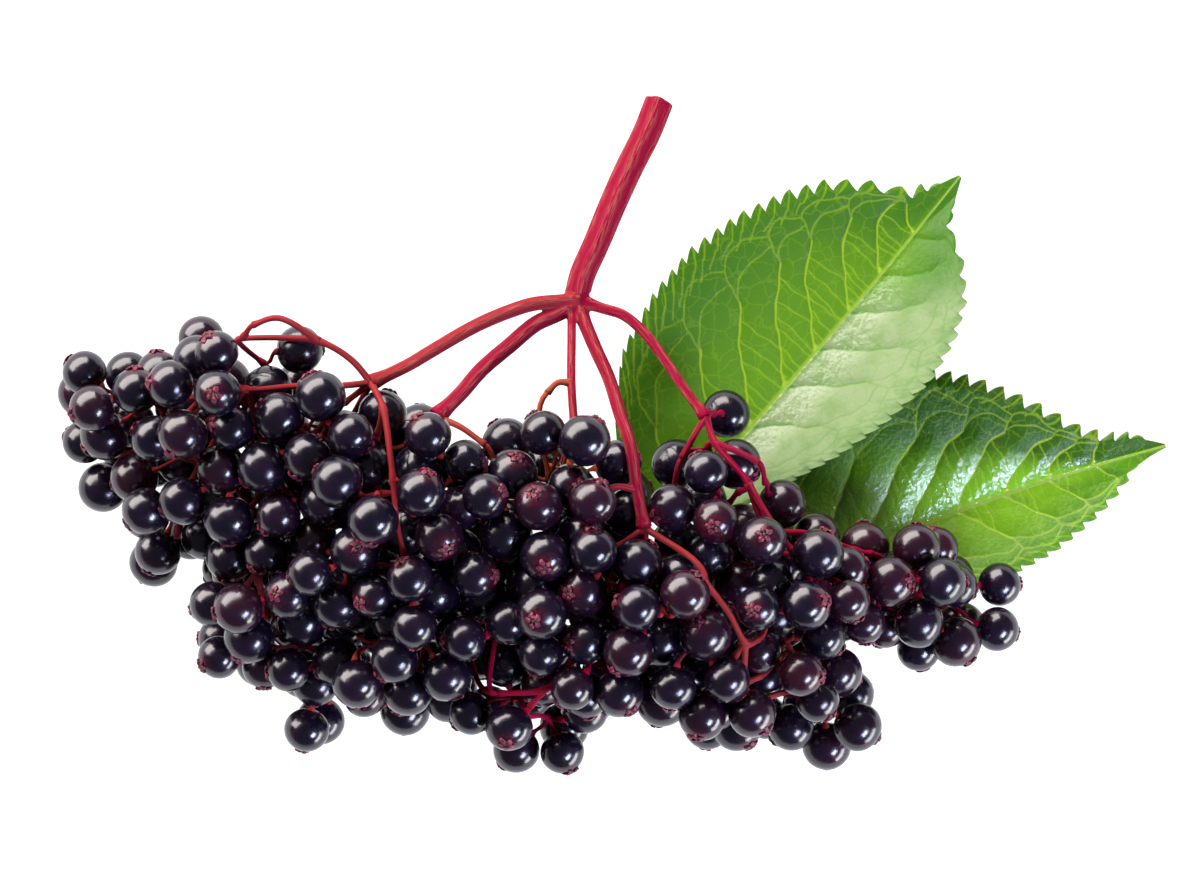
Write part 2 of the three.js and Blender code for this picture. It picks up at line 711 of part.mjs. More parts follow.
// The lowest height at which a ball clears every leaflet under it.
function leafTopUnder(x, y, radius) {
  let top = 0;
  for (const leaf of LEAVES) {
    const { base, along, length, left } = leafFrame(leaf);
    const dx = x - base.x;
    const dy = y - base.y;
    const share = (dx * along.x + dy * along.y) / length;
    if (share < -LEAF_MARGIN || share > 1 + LEAF_MARGIN) continue;
    const inside = THREE.MathUtils.clamp(share, 0, 1);
    const offset = dx * left.x + dy * left.y - ribBow(leaf, inside);
    const side = offset > 0 ? 1 : -1;
    const width = readProfile(side > 0 ? leaf.left : leaf.right, inside);
    if (Math.abs(offset) > width + radius + TOOTH_DEPTH) continue;
    const across = Math.min((Math.abs(offset) + LEAF_AHEAD) / width, 1);
    const blade = bladeHeight(leaf, side, inside, across);
    top = Math.max(top, blade + radius * LEAF_SLOPE + LEAF_GAP);
  }
  return top;
}

function leafBlade(leaf) {
  const { base, along, length, left } = leafFrame(leaf);
  const half = BLADE_THICKNESS / 2;
  const points = [];
  const faces = [];
  const columns = [[1, 1], [1, 0.5], [1, 0], [-1, 0.5], [-1, 1]];
  const rows = TEETH * 2;
  for (let row = 0; row <= rows; row++) {
    const isPoint = row % 2 === 1;
    const share = (row + (isPoint ? TOOTH_SHIFT : 0)) / rows;
    for (const face of [1, -1]) {
      for (const [side, across] of columns) {
        const width = readProfile(side > 0 ? leaf.left : leaf.right, share);
        const toothed = isPoint && across === 1 && width > TOOTHLESS_WIDTH;
        const tooth = toothed ? TOOTH_DEPTH : 0;
        const reach = ribBow(leaf, share) + side * (width * across + tooth);
        const forward = share * length + tooth * TOOTH_LEAN;
        const isRib = across === 0 && face < 0;
        const ridge = isRib ? Math.min(RIB_DEPTH, ribHeight(leaf, share) - half) : 0;
        points.push([
          base.x + along.x * forward + left.x * reach,
          base.y + along.y * forward + left.y * reach,
          bladeHeight(leaf, side, share, across) + face * (half + Math.max(ridge, 0)),
        ]);
      }
    }
  }
  const wide = columns.length;
  const at = (row, face, column) => row * wide * 2 + (face > 0 ? 0 : wide) + column;
  const quad = (a, b, c, d) => faces.push([a, b, c], [a, c, d]);
  for (let row = 0; row < rows; row++) {
    for (let k = 0; k < wide - 1; k++) {
      quad(at(row, 1, k), at(row, 1, k + 1), at(row + 1, 1, k + 1), at(row + 1, 1, k));
      faces.push([at(row, -1, k), at(row + 1, -1, k + 1), at(row, -1, k + 1)]);
      faces.push([at(row, -1, k), at(row + 1, -1, k), at(row + 1, -1, k + 1)]);
    }
    quad(at(row, 1, 0), at(row + 1, 1, 0), at(row + 1, -1, 0), at(row, -1, 0));
    quad(at(row, -1, wide - 1), at(row + 1, -1, wide - 1), at(row + 1, 1, wide - 1), at(row, 1, wide - 1));
  }
  for (let k = 0; k < wide - 1; k++) {
    quad(at(0, 1, k), at(0, -1, k), at(0, -1, k + 1), at(0, 1, k + 1));
    quad(at(rows, 1, k), at(rows, 1, k + 1), at(rows, -1, k + 1), at(rows, -1, k));
  }
  return facedGeometry(points, faces);
}

// ---------------------------------------------------------------- stems and sprays

// The whole red frame: peduncle, rays and twigs, joined at their forks.
function stemFrame() {
  const solids = [];
  for (const stem of STEMS) {
    solids.push(tube(stem.path, stem.radii, 6));
    solids.push(knob(vector(stem.path[stem.path.length - 1]), stem.radii[1] * FORK_SWELL));
  }
  for (const twig of TWIGS) solids.push(tube(twig.path, TWIG_RADII, 4));
  return joinAll(solids);
}

// A berry and its pedicel in one: three sides along the pedicel, six round the berry.
function berryOnPedicel(berry) {
  const axis = berry.centre.clone().sub(berry.hub).normalize();
  const side = axis.clone().cross(ASIDE).normalize();
  const up = axis.clone().cross(side);
  const points = [];
  const addRing = (middle, radius, count) => {
    for (let k = 0; k < count; k++) {
      const turn = (k / count) * 2 * Math.PI;
      const point = middle.clone();
      point.addScaledVector(side, Math.cos(turn) * radius).addScaledVector(up, Math.sin(turn) * radius);
      points.push(point.toArray());
    }
  };
  const neck = -Math.sqrt(berry.radius ** 2 - PEDICEL_RADIUS ** 2);
  addRing(berry.hub, PEDICEL_RADIUS, 3);
  addRing(berry.centre.clone().addScaledVector(axis, neck), PEDICEL_RADIUS, 3);
  for (const polar of [(2 * Math.PI) / 3, Math.PI / 3]) {
    const middle = berry.centre.clone().addScaledVector(axis, berry.radius * Math.cos(polar));
    addRing(middle, berry.radius * Math.sin(polar), 6);
  }
  points.push(berry.centre.clone().addScaledVector(axis, berry.radius).toArray());
  const faces = [[0, 2, 1]];
  for (let k = 0; k < 3; k++) {
    const next = (k + 1) % 3;
    faces.push([k, next, 3 + next], [k, 3 + next, 3 + k]);
    faces.push([3 + k, 7 + 2 * k, 6 + 2 * k]);
    faces.push([3 + k, 3 + next, 7 + 2 * k]);
    faces.push([3 + next, 6 + 2 * next, 7 + 2 * k]);
  }
  for (let k = 0; k < 6; k++) {
    const a = 6 + k;
    const b = 6 + ((k + 1) % 6);
    faces.push([a, b, b + 6], [a, b + 6, a + 6], [a + 6, b + 6, 18]);
  }
  return toSolid(facedGeometry(points, faces));
}

// A spray's stalk, flared at its hub so that the pedicels root inside it.
function sprayStalk(start, hub) {
  const along = hub.clone().sub(start).normalize();
  const neck = hub.clone().addScaledVector(along, -HUB_NECK);
  const end = hub.clone().addScaledVector(along, HUB_END);
  const points = [start, neck, end].map((point) => point.toArray());
  return tube(points, [SPRAY_STALK_RADII[0], HUB_RADIUS], 4);
}

// One spray: its stalks fan out from just past the twig's end, and carry the kept berries.
function spray(twig, berries) {
  const end = vector(twig.path[twig.path.length - 1]);
  const before = vector(twig.path[twig.path.length - 2]);
  const start = end.clone().addScaledVector(end.clone().sub(before).normalize(), SPRAY_START);
  const solids = [];
  for (const [x, y, z] of twig.hubs) {
    const hub = new THREE.Vector3(x, y, z);
    const carried = berries.filter((berry) => berry.hub.distanceTo(hub) < 1e-6);
    if (!carried.length) continue;
    solids.push(sprayStalk(start, hub));
    for (const berry of carried) solids.push(berryOnPedicel(berry));
  }
  return joinAll(solids);
}

// How open a berry lies: near 1 at the outside of the bunch, near 0 in its core.
function openness(berry, berries) {
  const sum = new THREE.Vector3();
  let count = 0;
  for (const other of berries) {
    const away = berry.centre.clone().sub(other.centre);
    const distance = away.length();
    if (other === berry || distance > NEIGHBOURHOOD) continue;
    sum.addScaledVector(away, 1 / distance);
    count++;
  }
  return sum.length() / Math.max(count, 1);
}

// The least distance between two straight bars, found in small steps.
function barDistance(a, b) {
  const steps = 12;
  let least = Infinity;
  for (let i = 0; i <= steps; i++) {
    const point = a.from.clone().lerp(a.to, i / steps);
    least = Math.min(least, nearestOnBar(b.from, b.to, point)[0].distanceTo(point));
  }
  return least;
}

// The berries that get a solid: from each of the more open hubs, the ones furthest out, where
// their pedicels clear the other sprays.
function chooseSolidBerries(berries, bars) {
  const ranked = berries.map((berry) => ({ berry, open: openness(berry, berries) }));
  ranked.sort((a, b) => b.open - a.open);
  const hubs = [...new Set(berries.map((berry) => berry.hub))].map((hub) => {
    const mates = ranked.filter((entry) => entry.berry.hub === hub);
    return { mates, open: mates.reduce((sum, mate) => sum + mate.open, 0) / mates.length };
  });
  hubs.sort((a, b) => b.open - a.open);
  const kept = [];
  for (const { mates } of hubs.slice(0, SOLID_HUBS)) {
    const wanted = Math.round(mates.length * SOLID_SHARE);
    let taken = 0;
    for (const { berry } of mates) {
      if (taken >= wanted || !clearsTheRest(berry, kept, bars)) continue;
      kept.push(berry);
      taken++;
    }
  }
  return kept;
}

const pedicelOf = (berry) => ({
  owner: berry.spray,
  from: berry.hub,
  to: berry.centre,
  radius: PEDICEL_RADIUS,
});

function ballClearsBar(berry, bar) {
  return nearestOnBar(bar.from, bar.to, berry.centre)[0].distanceTo(berry.centre) > berry.radius + bar.radius;
}

function barsClear(a, b) {
  return barDistance(a, b) > a.radius + b.radius + SOLID_GAP;
}

// Whether a berry and its pedicel clear every stem and every kept berry of the other sprays.
function clearsTheRest(berry, kept, bars) {
  const pedicel = pedicelOf(berry);
  const strangers = bars.filter((bar) => bar.owner !== berry.spray);
  if (strangers.some((bar) => !ballClearsBar(berry, bar) || !barsClear(pedicel, bar))) return false;
  return kept.every((other) => {
    if (other.spray === berry.spray) return true;
    const stalk = pedicelOf(other);
    const apart = other.centre.distanceTo(berry.centre) > other.radius + berry.radius;
    return apart && ballClearsBar(berry, stalk) && ballClearsBar(other, pedicel) && barsClear(pedicel, stalk);
  });
}

// ---------------------------------------------------------------- the bunch

const stemSkin = new THREE.MeshStandardMaterial({ color: 0xb3183f, roughness: 0.5, metalness: 0 });
const berrySkin = new THREE.MeshStandardMaterial({ color: 0x17101c, roughness: 0.25, metalness: 0 });

function addPiece(group, name, geometry, material) {
  const mesh = new THREE.Mesh(geometry, material);
  mesh.name = name;
  group.add(mesh);
}

function buildCluster() {
  const cluster = new THREE.Group();
  const bars = layOutBars();
  const berries = hangBerries();
  settle(berries, bars);
  const solidBerries = chooseSolidBerries(berries, bars);
  addPiece(cluster, 'stem', toGeometry(stemFrame()), stemSkin);
  for (const twig of TWIGS) {
    const carried = solidBerries.filter((berry) => berry.spray === twig.name);
    if (carried.length) addPiece(cluster, `spray_${twig.name}`, toGeometry(spray(twig, carried)), berrySkin);
  }
  for (const leaf of LEAVES) {
    const skin = new THREE.MeshStandardMaterial({ color: leaf.color, roughness: 0.4, metalness: 0 });
    addPiece(cluster, leaf.name, leafBlade(leaf), skin);
  }
  return cluster;
}

export default buildCluster();
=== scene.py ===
# %% [markdown]
# # A cut elderberry bunch on two of its leaflets
# A ripe elderberry umbel is one red stem frame that forks again and again, with a berry at every
# tip. Cut and laid on its side, it spreads over two toothed leaflets. The packed solids give the
# sizes and the collision shapes, and this lesson dresses them: it grows the same bunch from the
# same numbers, with every berry, every thin stalk, and the veins of the leaflets.
#
# The first cell loads those solids. They stay where they are, and each piece made here hides the
# ones that it stands for.

# %% Load the packed solids
import math

import bpy
import mathutils
import numpy as np
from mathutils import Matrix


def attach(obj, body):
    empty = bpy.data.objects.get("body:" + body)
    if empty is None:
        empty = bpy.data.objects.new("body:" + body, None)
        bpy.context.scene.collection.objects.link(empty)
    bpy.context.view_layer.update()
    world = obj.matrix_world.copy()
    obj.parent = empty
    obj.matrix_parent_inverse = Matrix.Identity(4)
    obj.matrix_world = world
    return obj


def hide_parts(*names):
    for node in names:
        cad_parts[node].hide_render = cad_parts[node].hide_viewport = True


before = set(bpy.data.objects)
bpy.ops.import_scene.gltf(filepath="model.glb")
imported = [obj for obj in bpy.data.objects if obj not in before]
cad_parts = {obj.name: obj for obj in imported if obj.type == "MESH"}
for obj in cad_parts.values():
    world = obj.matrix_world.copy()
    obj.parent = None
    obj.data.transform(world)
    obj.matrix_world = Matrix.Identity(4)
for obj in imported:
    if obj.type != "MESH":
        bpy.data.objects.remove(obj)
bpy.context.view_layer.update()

MM = 0.001
TINY = 1e-9  # keeps a division by a length of nothing from failing

# %% [markdown]
# ## Camera
# A lying bunch is best seen from straight above. The camera hangs over it, far enough away that
# the berries at the edges are seen almost as squarely as those in the middle.

# %% Camera
CAMERA_PLACE = (-2.5, -1.3, 765)  # mm
SENSOR_WIDTH = 36
IMAGE_WIDTH = 1200
PIXELS_PER_RADIAN = 5069  # how wide one radian is in the middle of the image

camera_data = bpy.data.cameras.new("camera")
camera_data.sensor_width = SENSOR_WIDTH
camera_data.lens = PIXELS_PER_RADIAN * SENSOR_WIDTH / IMAGE_WIDTH
camera = bpy.data.objects.new("camera", camera_data)
camera.location = [v * MM for v in CAMERA_PLACE]
bpy.context.scene.collection.objects.link(camera)
bpy.context.scene.camera = camera
print("lens:", round(camera_data.lens, 1), "mm")

# %% [markdown]
# ## Two small helpers for every finish
# A finish is a small net of nodes. It could be joined up by hand, node by node, but one function
# that adds a node, fills its sockets and gives back its output lets a finish read like a recipe.
# Blender's sockets take linear colours, while a maker picks sRGB ones, so one function turns
# one into the other.


# %% Colours and nodes
def colour(hex_code):
    """An sRGB hex colour as the linear values that Blender's sockets take."""
    parts = [int(hex_code[i:i + 2], 16) / 255 for i in (0, 2, 4)]
    return tuple(c / 12.92 if c <= 0.04045 else ((c + 0.055) / 1.055) ** 2.4 for c in parts) + (1.0,)


def fill(tree, node, inputs):
    """Gives each named socket of a node another node's output, a hex colour or a plain value."""
    for name, value in inputs.items():
        socket = node.inputs[name]
        if isinstance(value, bpy.types.NodeSocket):
            tree.links.new(value, socket)
        else:
            socket.default_value = colour(value) if isinstance(value, str) else value


def add_node(tree, kind, inputs=None, output=0, **settings):
    """Adds a node with its settings and links, and gives one of its outputs, by name or number."""
    made = tree.nodes.new("ShaderNode" + kind)
    for name, value in settings.items():
        setattr(made, name, value)
    fill(tree, made, inputs or {})
    return made.outputs[output]


def start_finish(name):
    """A new material, its tree and its shader."""
    made = bpy.data.materials.new(name)
    made.use_nodes = True
    return made, made.node_tree, made.node_tree.nodes["Principled BSDF"]


print("middle grey as a linear value:", round(colour("808080")[0], 3))

# %% [markdown]
# ## Studio
# Glossy berries show the studio more than they show themselves. A tall softbox at the upper left
# lays a broad, soft crescent on each one, a small cool window at the right puts in the crisp
# spark, and a low panel lights the right-hand rims. The table is white acrylic that glows from
# within, so the undersides are bright and no dark shadow falls on it. Many small lamps would give
# the same light, but each would leave its own dot on every berry.


# %% Lamps
def add_softbox(name, direction, distance, size, watts, hex_code):
    """A rectangular lamp that looks at the middle of the bunch."""
    lamp = bpy.data.lights.new(name, "AREA")
    lamp.shape = "RECTANGLE"
    lamp.size, lamp.size_y = size
    lamp.energy = watts
    lamp.color = colour(hex_code)[:3]
    holder = bpy.data.objects.new(name, lamp)
    towards = np.array(direction) / np.linalg.norm(direction)
    holder.location = towards * distance
    holder.rotation_euler = holder.location.to_track_quat("Z", "Y").to_euler()
    bpy.context.scene.collection.objects.link(holder)


add_softbox("key_softbox", (-0.50, 0.75, 0.36), 0.9, (1.5, 0.66), 39, "FFF6F2")
add_softbox("key_halo", (-0.50, 0.75, 0.48), 1.0, (1.8, 0.9), 3.4, "FFF8F6")
add_softbox("window_light", (0.52, -0.46, 0.70), 0.7, (0.3, 0.18), 8, "CCD6FF")
add_softbox("low_panel", (0.80, -0.55, 0.12), 0.8, (0.7, 0.25), 9, "FFFFFF")

world = bpy.data.worlds.new("studio")
world.use_nodes = True
background = world.node_tree.nodes["Background"]
fill(world.node_tree, background, {"Color": "E4E0F0", "Strength": 0.17})
bpy.context.scene.world = world
bpy.context.scene.view_settings.view_transform = "Standard"

# %% Glowing table
TABLE_HALF = 3.0
TABLE_GLOW = 0.97
table_mesh = bpy.data.meshes.new("table")
corners = [(-1, -1), (1, -1), (1, 1), (-1, 1)]
table_mesh.from_pydata([(x * TABLE_HALF, y * TABLE_HALF, 0) for x, y in corners], [], [(0, 1, 2, 3)])
table = bpy.data.objects.new("table", table_mesh)
bpy.context.scene.collection.objects.link(table)
acrylic, tree, shader = start_finish("glowing_white_acrylic")
fill(tree, shader, {"Base Color": "8C8C8C", "Roughness": 0.9, "Emission Color": "FFFFFF",
                    "Emission Strength": TABLE_GLOW})
table_mesh.materials.append(acrylic)
print("table:", 2 * TABLE_HALF, "m wide")

# %% [markdown]
# ## Where everything grows
# The main stems and the twigs are lists of points, in millimetres, given one by one along the
# bunch. A twig ends in one or more hubs, where a few pedicels meet, as in a small umbrella. A hub
# is x, y, z and its number of berries.

# %% Main stems: name, radii at the two ends, route
STEMS = [
    ("peduncle", (2.0, 1.75), [(6.35, 48.6, 9), (4.35, 43.6, 11), (1.85, 38.6, 13),
        (-0.65, 33.1, 15), (-3.15, 27.1, 17.5), (-5.15, 22.6, 19), (-6.15, 18.6, 20)]),
    ("ray_a", (0.95, 0.8), [(-5.65, 18.6, 20), (-8.15, 18.6, 21), (-12.15, 18.2, 22.5),
        (-15.65, 17.1, 24), (-19.65, 15.4, 25.5), (-23.15, 13.5, 27), (-27.15, 11.1, 28),
        (-30.65, 9, 29), (-35.65, 6.6, 30)]),
    ("ray_b", (1.15, 1.05), [(-6.15, 18.1, 20), (-9.15, 16.6, 21.5), (-12.15, 15.1, 23),
        (-15.65, 12.1, 25), (-19.65, 8.6, 27.5), (-22.65, 5.1, 29.5), (-26.15, 1.6, 31)]),
    ("ray_c", (0.65, 0.6), [(-6.65, 17.6, 20), (-6.65, 12.6, 25), (-6.65, 6.6, 30),
        (-6.15, -0.9, 34)]),
    ("ray_d", (1.0, 0.85), [(-5.65, 17.6, 20), (-3.15, 11.6, 24.5), (-1.15, 7.1, 27.5),
        (0.35, 2.1, 31), (1.85, -2.4, 33.5), (2.85, -8.9, 35), (3.85, -14.4, 35)]),
    ("ray_e", (0.85, 0.75), [(-5.15, 18.6, 20), (-2.15, 17.6, 21), (0.85, 16.6, 22),
        (3.35, 14.6, 23), (5.85, 11.6, 24.5), (9.85, 5.6, 27), (12.85, 1.6, 29)]),
]
print("main stems:", [name for name, _, _ in STEMS])

# %% Twigs: name, route, hubs
TWIGS = [
    ("a1", [(-35.65, 6.6, 30), (-38.75, 10.1, 31), (-43.25, 12.6, 31), (-48.75, 13.1, 29),
        (-54.75, 13.1, 27)],
     [(-56.5, 11, 23, 3), (-51.7, 9.5, 23, 3)]),
    ("a1b", [(-43.25, 12.6, 31), (-47.25, 15.3, 32.5), (-49.75, 15.9, 32), (-52.75, 14.9, 30.8)],
     [(-54.3, 13.3, 29, 1)]),
    ("a2", [(-35.65, 6.6, 30), (-41.15, 6.1, 31), (-46.65, 6.1, 31), (-53.65, 5.6, 30),
        (-56.15, 7.1, 28.5)],
     [(-58, 5, 26.1, 4)]),
    ("a2c", [(-53.65, 5.6, 30), (-54.15, 3.1, 27.5)],
     [(-54.5, 0.5, 22.5, 4)]),
    ("a2b", [(-35.65, 6.6, 30), (-39.65, 3.6, 29)],
     [(-44.7, -1.3, 27, 4), (-42, 0.5, 28, 3)]),
    ("a3", [(-53.65, 5.6, 30), (-60.15, 4.6, 26), (-66.65, 4.1, 20)],
     [(-68.5, 3.9, 17, 4), (-74, 4.9, 14, 3)]),
    ("a4", [(-60.15, 4.6, 26), (-64.65, 0.6, 22), (-68.15, -1.9, 19)],
     [(-67.5, -1.3, 16, 4), (-73.5, -4, 12, 3)]),
    ("a5", [(-53.65, 5.6, 30), (-57.65, 0.1, 25), (-60.65, -4.4, 23), (-63.15, -4.4, 22.5)],
     [(-63.5, -4, 19, 4)]),
    ("a5b", [(-60.65, -4.4, 23), (-63.65, -9.9, 18)],
     [(-64.7, -10.5, 14, 4), (-65.4, -16, 11, 2)]),
    ("a6", [(-32.15, -7.4, 38), (-30.15, -8.9, 36.5)],
     [(-27.5, -10.5, 33, 4), (-34, -9.5, 33, 4)]),
    ("a6b", [(-33.65, 2.6, 35), (-34.65, -0.9, 32)],
     [(-41.2, -1.9, 29, 4)]),
    ("a7", [(-35.65, 6.6, 30), (-33.65, 2.6, 35), (-32.65, -3.4, 37.5), (-32.15, -7.4, 38),
        (-31.65, -13.4, 38), (-30.65, -18.4, 36)],
     [(-31.5, -22.5, 31, 4), (-39, -19.5, 29, 4)]),
    ("a8", [(-53.65, 5.6, 30), (-51.65, -2.4, 25), (-50.65, -7.4, 24), (-48.65, -8.9, 23.5)],
     [(-46.5, -11, 24.5, 4)]),
    ("a8c", [(-51.65, -2.4, 25), (-54.15, -4.9, 23.5)],
     [(-56, -8, 22.5, 4)]),
    ("a8b", [(-50.65, -7.4, 24), (-55.65, -14.4, 20)],
     [(-56.5, -16.5, 17, 3)]),
    ("a9", [(-50.65, -7.4, 24), (-50.15, -15.9, 23), (-47.65, -19.9, 23)],
     [(-44.5, -23.5, 23, 4)]),
    ("a9c", [(-50.15, -15.9, 23), (-52.65, -20.9, 22), (-52.65, -22.9, 21)],
     [(-51.9, -24.4, 21, 4)]),
    ("a9b", [(-52.65, -20.9, 22), (-56.15, -24.9, 17)],
     [(-53.5, -26.5, 14, 3)]),
    ("a10", [(-52.65, -20.9, 22), (-51.65, -27.9, 19), (-51.65, -31.4, 17)],
     [(-52.2, -31.7, 13, 4), (-44.3, -32.7, 16, 4)]),
    ("b1", [(-26.15, 1.6, 31), (-28.65, -0.4, 31), (-30.65, -2.4, 30)],
     [(-34, -3, 28, 3)]),
    ("b2", [(-26.15, 1.6, 31), (-22.65, 0.1, 33), (-19.15, -2.4, 33)],
     [(-24.7, -4.4, 30, 4), (-17.7, -9.2, 31, 4)]),
    ("b3", [(-26.15, 1.6, 31), (-26.15, -3.9, 25), (-26.15, -11.4, 22), (-24.65, -12.9, 23)],
     [(-25.5, -16.5, 26, 4), (-19.5, -20, 28, 4)]),
    ("b3c", [(-26.15, -11.4, 22), (-28.65, -12.9, 18)],
     [(-32.5, -13.5, 14, 3)]),
    ("b4", [(-26.15, -11.4, 22), (-26.15, -20.4, 21), (-27.65, -26.4, 21), (-28.15, -28.4, 22.5)],
     [(-28, -30, 26, 4), (-36, -31.5, 23, 4)]),
    ("b6", [(-26.15, -20.4, 21), (-23.65, -22.9, 18)],
     [(-20, -25, 15, 4)]),
    ("b5", [(-27.65, -26.4, 21), (-30.65, -32.4, 18), (-33.15, -35.4, 17)],
     [(-31.6, -36.4, 16, 4), (-42, -37.5, 13, 4)]),
    ("c1", [(-6.65, 6.6, 30), (-8.65, 6.6, 30.5), (-10.15, 5.1, 31)],
     [(-9.9, -7.6, 29, 4)]),
    ("c2", [(-6.15, -0.9, 34), (-5.15, -3.4, 34)],
     [(-6, -6.5, 31, 4)]),
    ("c3", [(-6.15, -0.9, 34), (-8.15, -6.9, 27), (-10.65, -11.4, 26)],
     [(-10, -15, 31, 4), (-16, -13.5, 28, 4)]),
    ("d1", [(3.85, -14.4, 35), (1.85, -15.9, 36), (-0.65, -17.4, 36)],
     [(-3, -21, 33, 4), (-7.5, -25.5, 32, 4)]),
    ("d2", [(2.85, -8.9, 35), (-0.15, -8.4, 36), (-2.65, -9.4, 35)],
     [(-3, -12, 32, 3)]),
    ("d3", [(3.85, -14.4, 35), (4.35, -17.9, 33)],
     [(4.5, -19.1, 29, 3), (0.5, -24, 31, 4)]),
    ("e1", [(12.85, 1.6, 29), (13.35, 2.1, 27)],
     [(14.1, 2.1, 24.6, 1)]),
    ("e1b", [(12.85, 1.6, 29), (13.85, -1.4, 27.5)],
     [(13.3, -2.7, 24.5, 2)]),
    ("e2", [(12.85, 1.6, 29), (11.35, -0.9, 29.5), (9.35, -4.4, 29)],
     [(8.1, -11.9, 27, 2)]),
    ("e3", [(12.85, 1.6, 29), (14.35, -2.4, 30.5), (18.85, -7.9, 32), (17.35, -9.4, 31)],
     [(16, -11, 29, 4)]),
    ("e3b", [(14.35, -2.4, 30.5), (17.35, -3.4, 31), (20.35, -4.9, 30)],
     [(21.6, -8, 27.5, 1)]),
    ("e4", [(18.85, -7.9, 32), (21.85, -12.9, 32), (25.35, -17.9, 31)],
     [(21, -18, 28, 4), (28.5, -21.5, 27, 4)]),
    ("e5", [(18.85, -7.9, 32), (21.85, -14.4, 30), (27.85, -15.4, 28), (34.85, -17.9, 25),
        (37.35, -18.4, 24)],
     [(41.1, -21.5, 20, 3)]),
    ("e5b", [(34.85, -17.9, 25), (33.35, -19.9, 23)],
     [(33.5, -22, 20, 4)]),
    ("e6", [(34.85, -17.9, 25), (38.35, -24.9, 21), (37.85, -27.4, 19.5)],
     [(37.2, -25.6, 17, 4)]),
    ("e6b", [(38.35, -24.9, 21), (42.35, -24.4, 19.5)],
     [(44.4, -24.8, 17, 4)]),
    ("e7", [(38.35, -24.9, 21), (44.85, -29.4, 17)],
     [(45.5, -27.8, 14, 4), (48.5, -26.1, 13, 3)]),
    ("f1", [(3.85, -14.4, 35), (10.85, -18.9, 38), (12.35, -21.9, 38.5), (9.35, -24.9, 38)],
     [(6.5, -26, 34, 4), (10.5, -30.5, 33, 3)]),
    ("f2", [(12.35, -21.9, 38.5), (15.85, -26.4, 38), (18.35, -30.9, 37), (20.35, -30.4, 35)],
     [(22.5, -26.5, 31.5, 4)]),
    ("f2b", [(18.35, -30.9, 37), (16.85, -32.9, 35)],
     [(15, -34, 31, 4)]),
    ("f3", [(18.35, -30.9, 37), (18.35, -36.9, 32), (19.35, -39.9, 30), (18.35, -41.9, 28)],
     [(17.5, -38.5, 22, 4)]),
    ("f3b", [(18.35, -36.9, 32), (20.85, -35.9, 30)],
     [(24.5, -33, 26, 4)]),
    ("f4", [(19.35, -39.9, 30), (24.85, -38.4, 27), (29.35, -38.4, 25)],
     [(24.9, -31.6, 23, 4), (30, -41.2, 18, 4)]),
    ("g0", [(3.85, -14.4, 35), (-0.15, -20.4, 28), (-3.65, -29.4, 28), (-1.65, -30.9, 28.5)],
     [(1.5, -29.5, 30.5, 4), (-3.5, -31, 31.5, 3)]),
    ("g1", [(-3.65, -29.4, 28), (-8.15, -35.4, 32), (-10.65, -37.9, 33), (-17.15, -38.4, 32)],
     [(-17.8, -28.2, 28, 4), (-21.8, -32.7, 22, 4)]),
    ("g2", [(-10.65, -37.9, 33), (-12.65, -40.4, 32)],
     [(-14.8, -39.2, 26, 4), (-10.1, -42.6, 22, 4)]),
    ("g3", [(-3.65, -29.4, 28), (-2.15, -34.4, 27)],
     [(-5, -33.5, 24, 4), (2, -31.7, 24, 4)]),
    ("g4", [(12.35, -21.9, 38.5), (11.35, -27.9, 33), (8.35, -33.9, 28), (6.85, -34.9, 27)],
     [(8.5, -31.5, 25, 4), (14, -36, 20, 4)]),
    ("h1", [(-35.65, 6.6, 30), (-39.65, 0.6, 18)],
     [(-46.5, -3, 11, 3), (-39, -8, 10, 3)]),
    ("h2", [(-60.15, 4.6, 26), (-58.65, -0.9, 16)],
     [(-62.5, -3, 10, 3), (-55.5, -9, 10, 3)]),
    ("h3", [(-50.65, -7.4, 24), (-47.15, -14.4, 15)],
     [(-51, -17, 9, 3), (-43.5, -19.5, 9, 3)]),
    ("h4", [(-26.15, 1.6, 31), (-25.65, -3.9, 20), (-26.15, -8.4, 16)],
     [(-31.5, -6, 12, 3), (-24, -15, 10, 3)]),
    ("h5", [(-27.65, -26.4, 21), (-32.15, -27.9, 14)],
     [(-40, -27, 9, 3), (-32.5, -21, 10, 3), (-29.5, -34.5, 9, 3)]),
    ("h6", [(-6.15, -0.9, 34), (-8.15, -5.4, 18)],
     [(-12.3, -8.5, 11, 3), (-5.5, -10.5, 12, 3)]),
    ("h7", [(-3.65, -29.4, 28), (-8.15, -29.4, 17)],
     [(-10.5, -21, 11, 3), (-15, -28.5, 10, 3), (-7.5, -36, 10, 3)]),
    ("h8", [(3.85, -14.4, 35), (4.35, -17.9, 22)],
     [(1.5, -19.5, 14, 3), (7.5, -24, 14, 3)]),
    ("h9", [(12.35, -21.9, 38.5), (14.85, -26.4, 20)],
     [(15.5, -21, 17, 3), (22.5, -27, 14, 3)]),
    ("h10", [(8.35, -33.9, 28), (11.35, -35.4, 16)],
     [(6, -34.5, 10, 3), (16.5, -39, 10, 3), (24, -37.5, 11, 3)]),
]
hub_total = sum(len(hubs) for _, _, hubs in TWIGS)
print("twigs:", len(TWIGS), "hubs:", hub_total, "berries:", sum(h[3] for t in TWIGS for h in t[2]))

# %% [markdown]
# ## Leaflet outlines
# A leaflet is drawn about its midrib: how far the blade reaches to the left and to the right at
# each share of the length, how the rib rises and how much the halves fold up. The berries need
# these shapes first, because they come to rest on them.

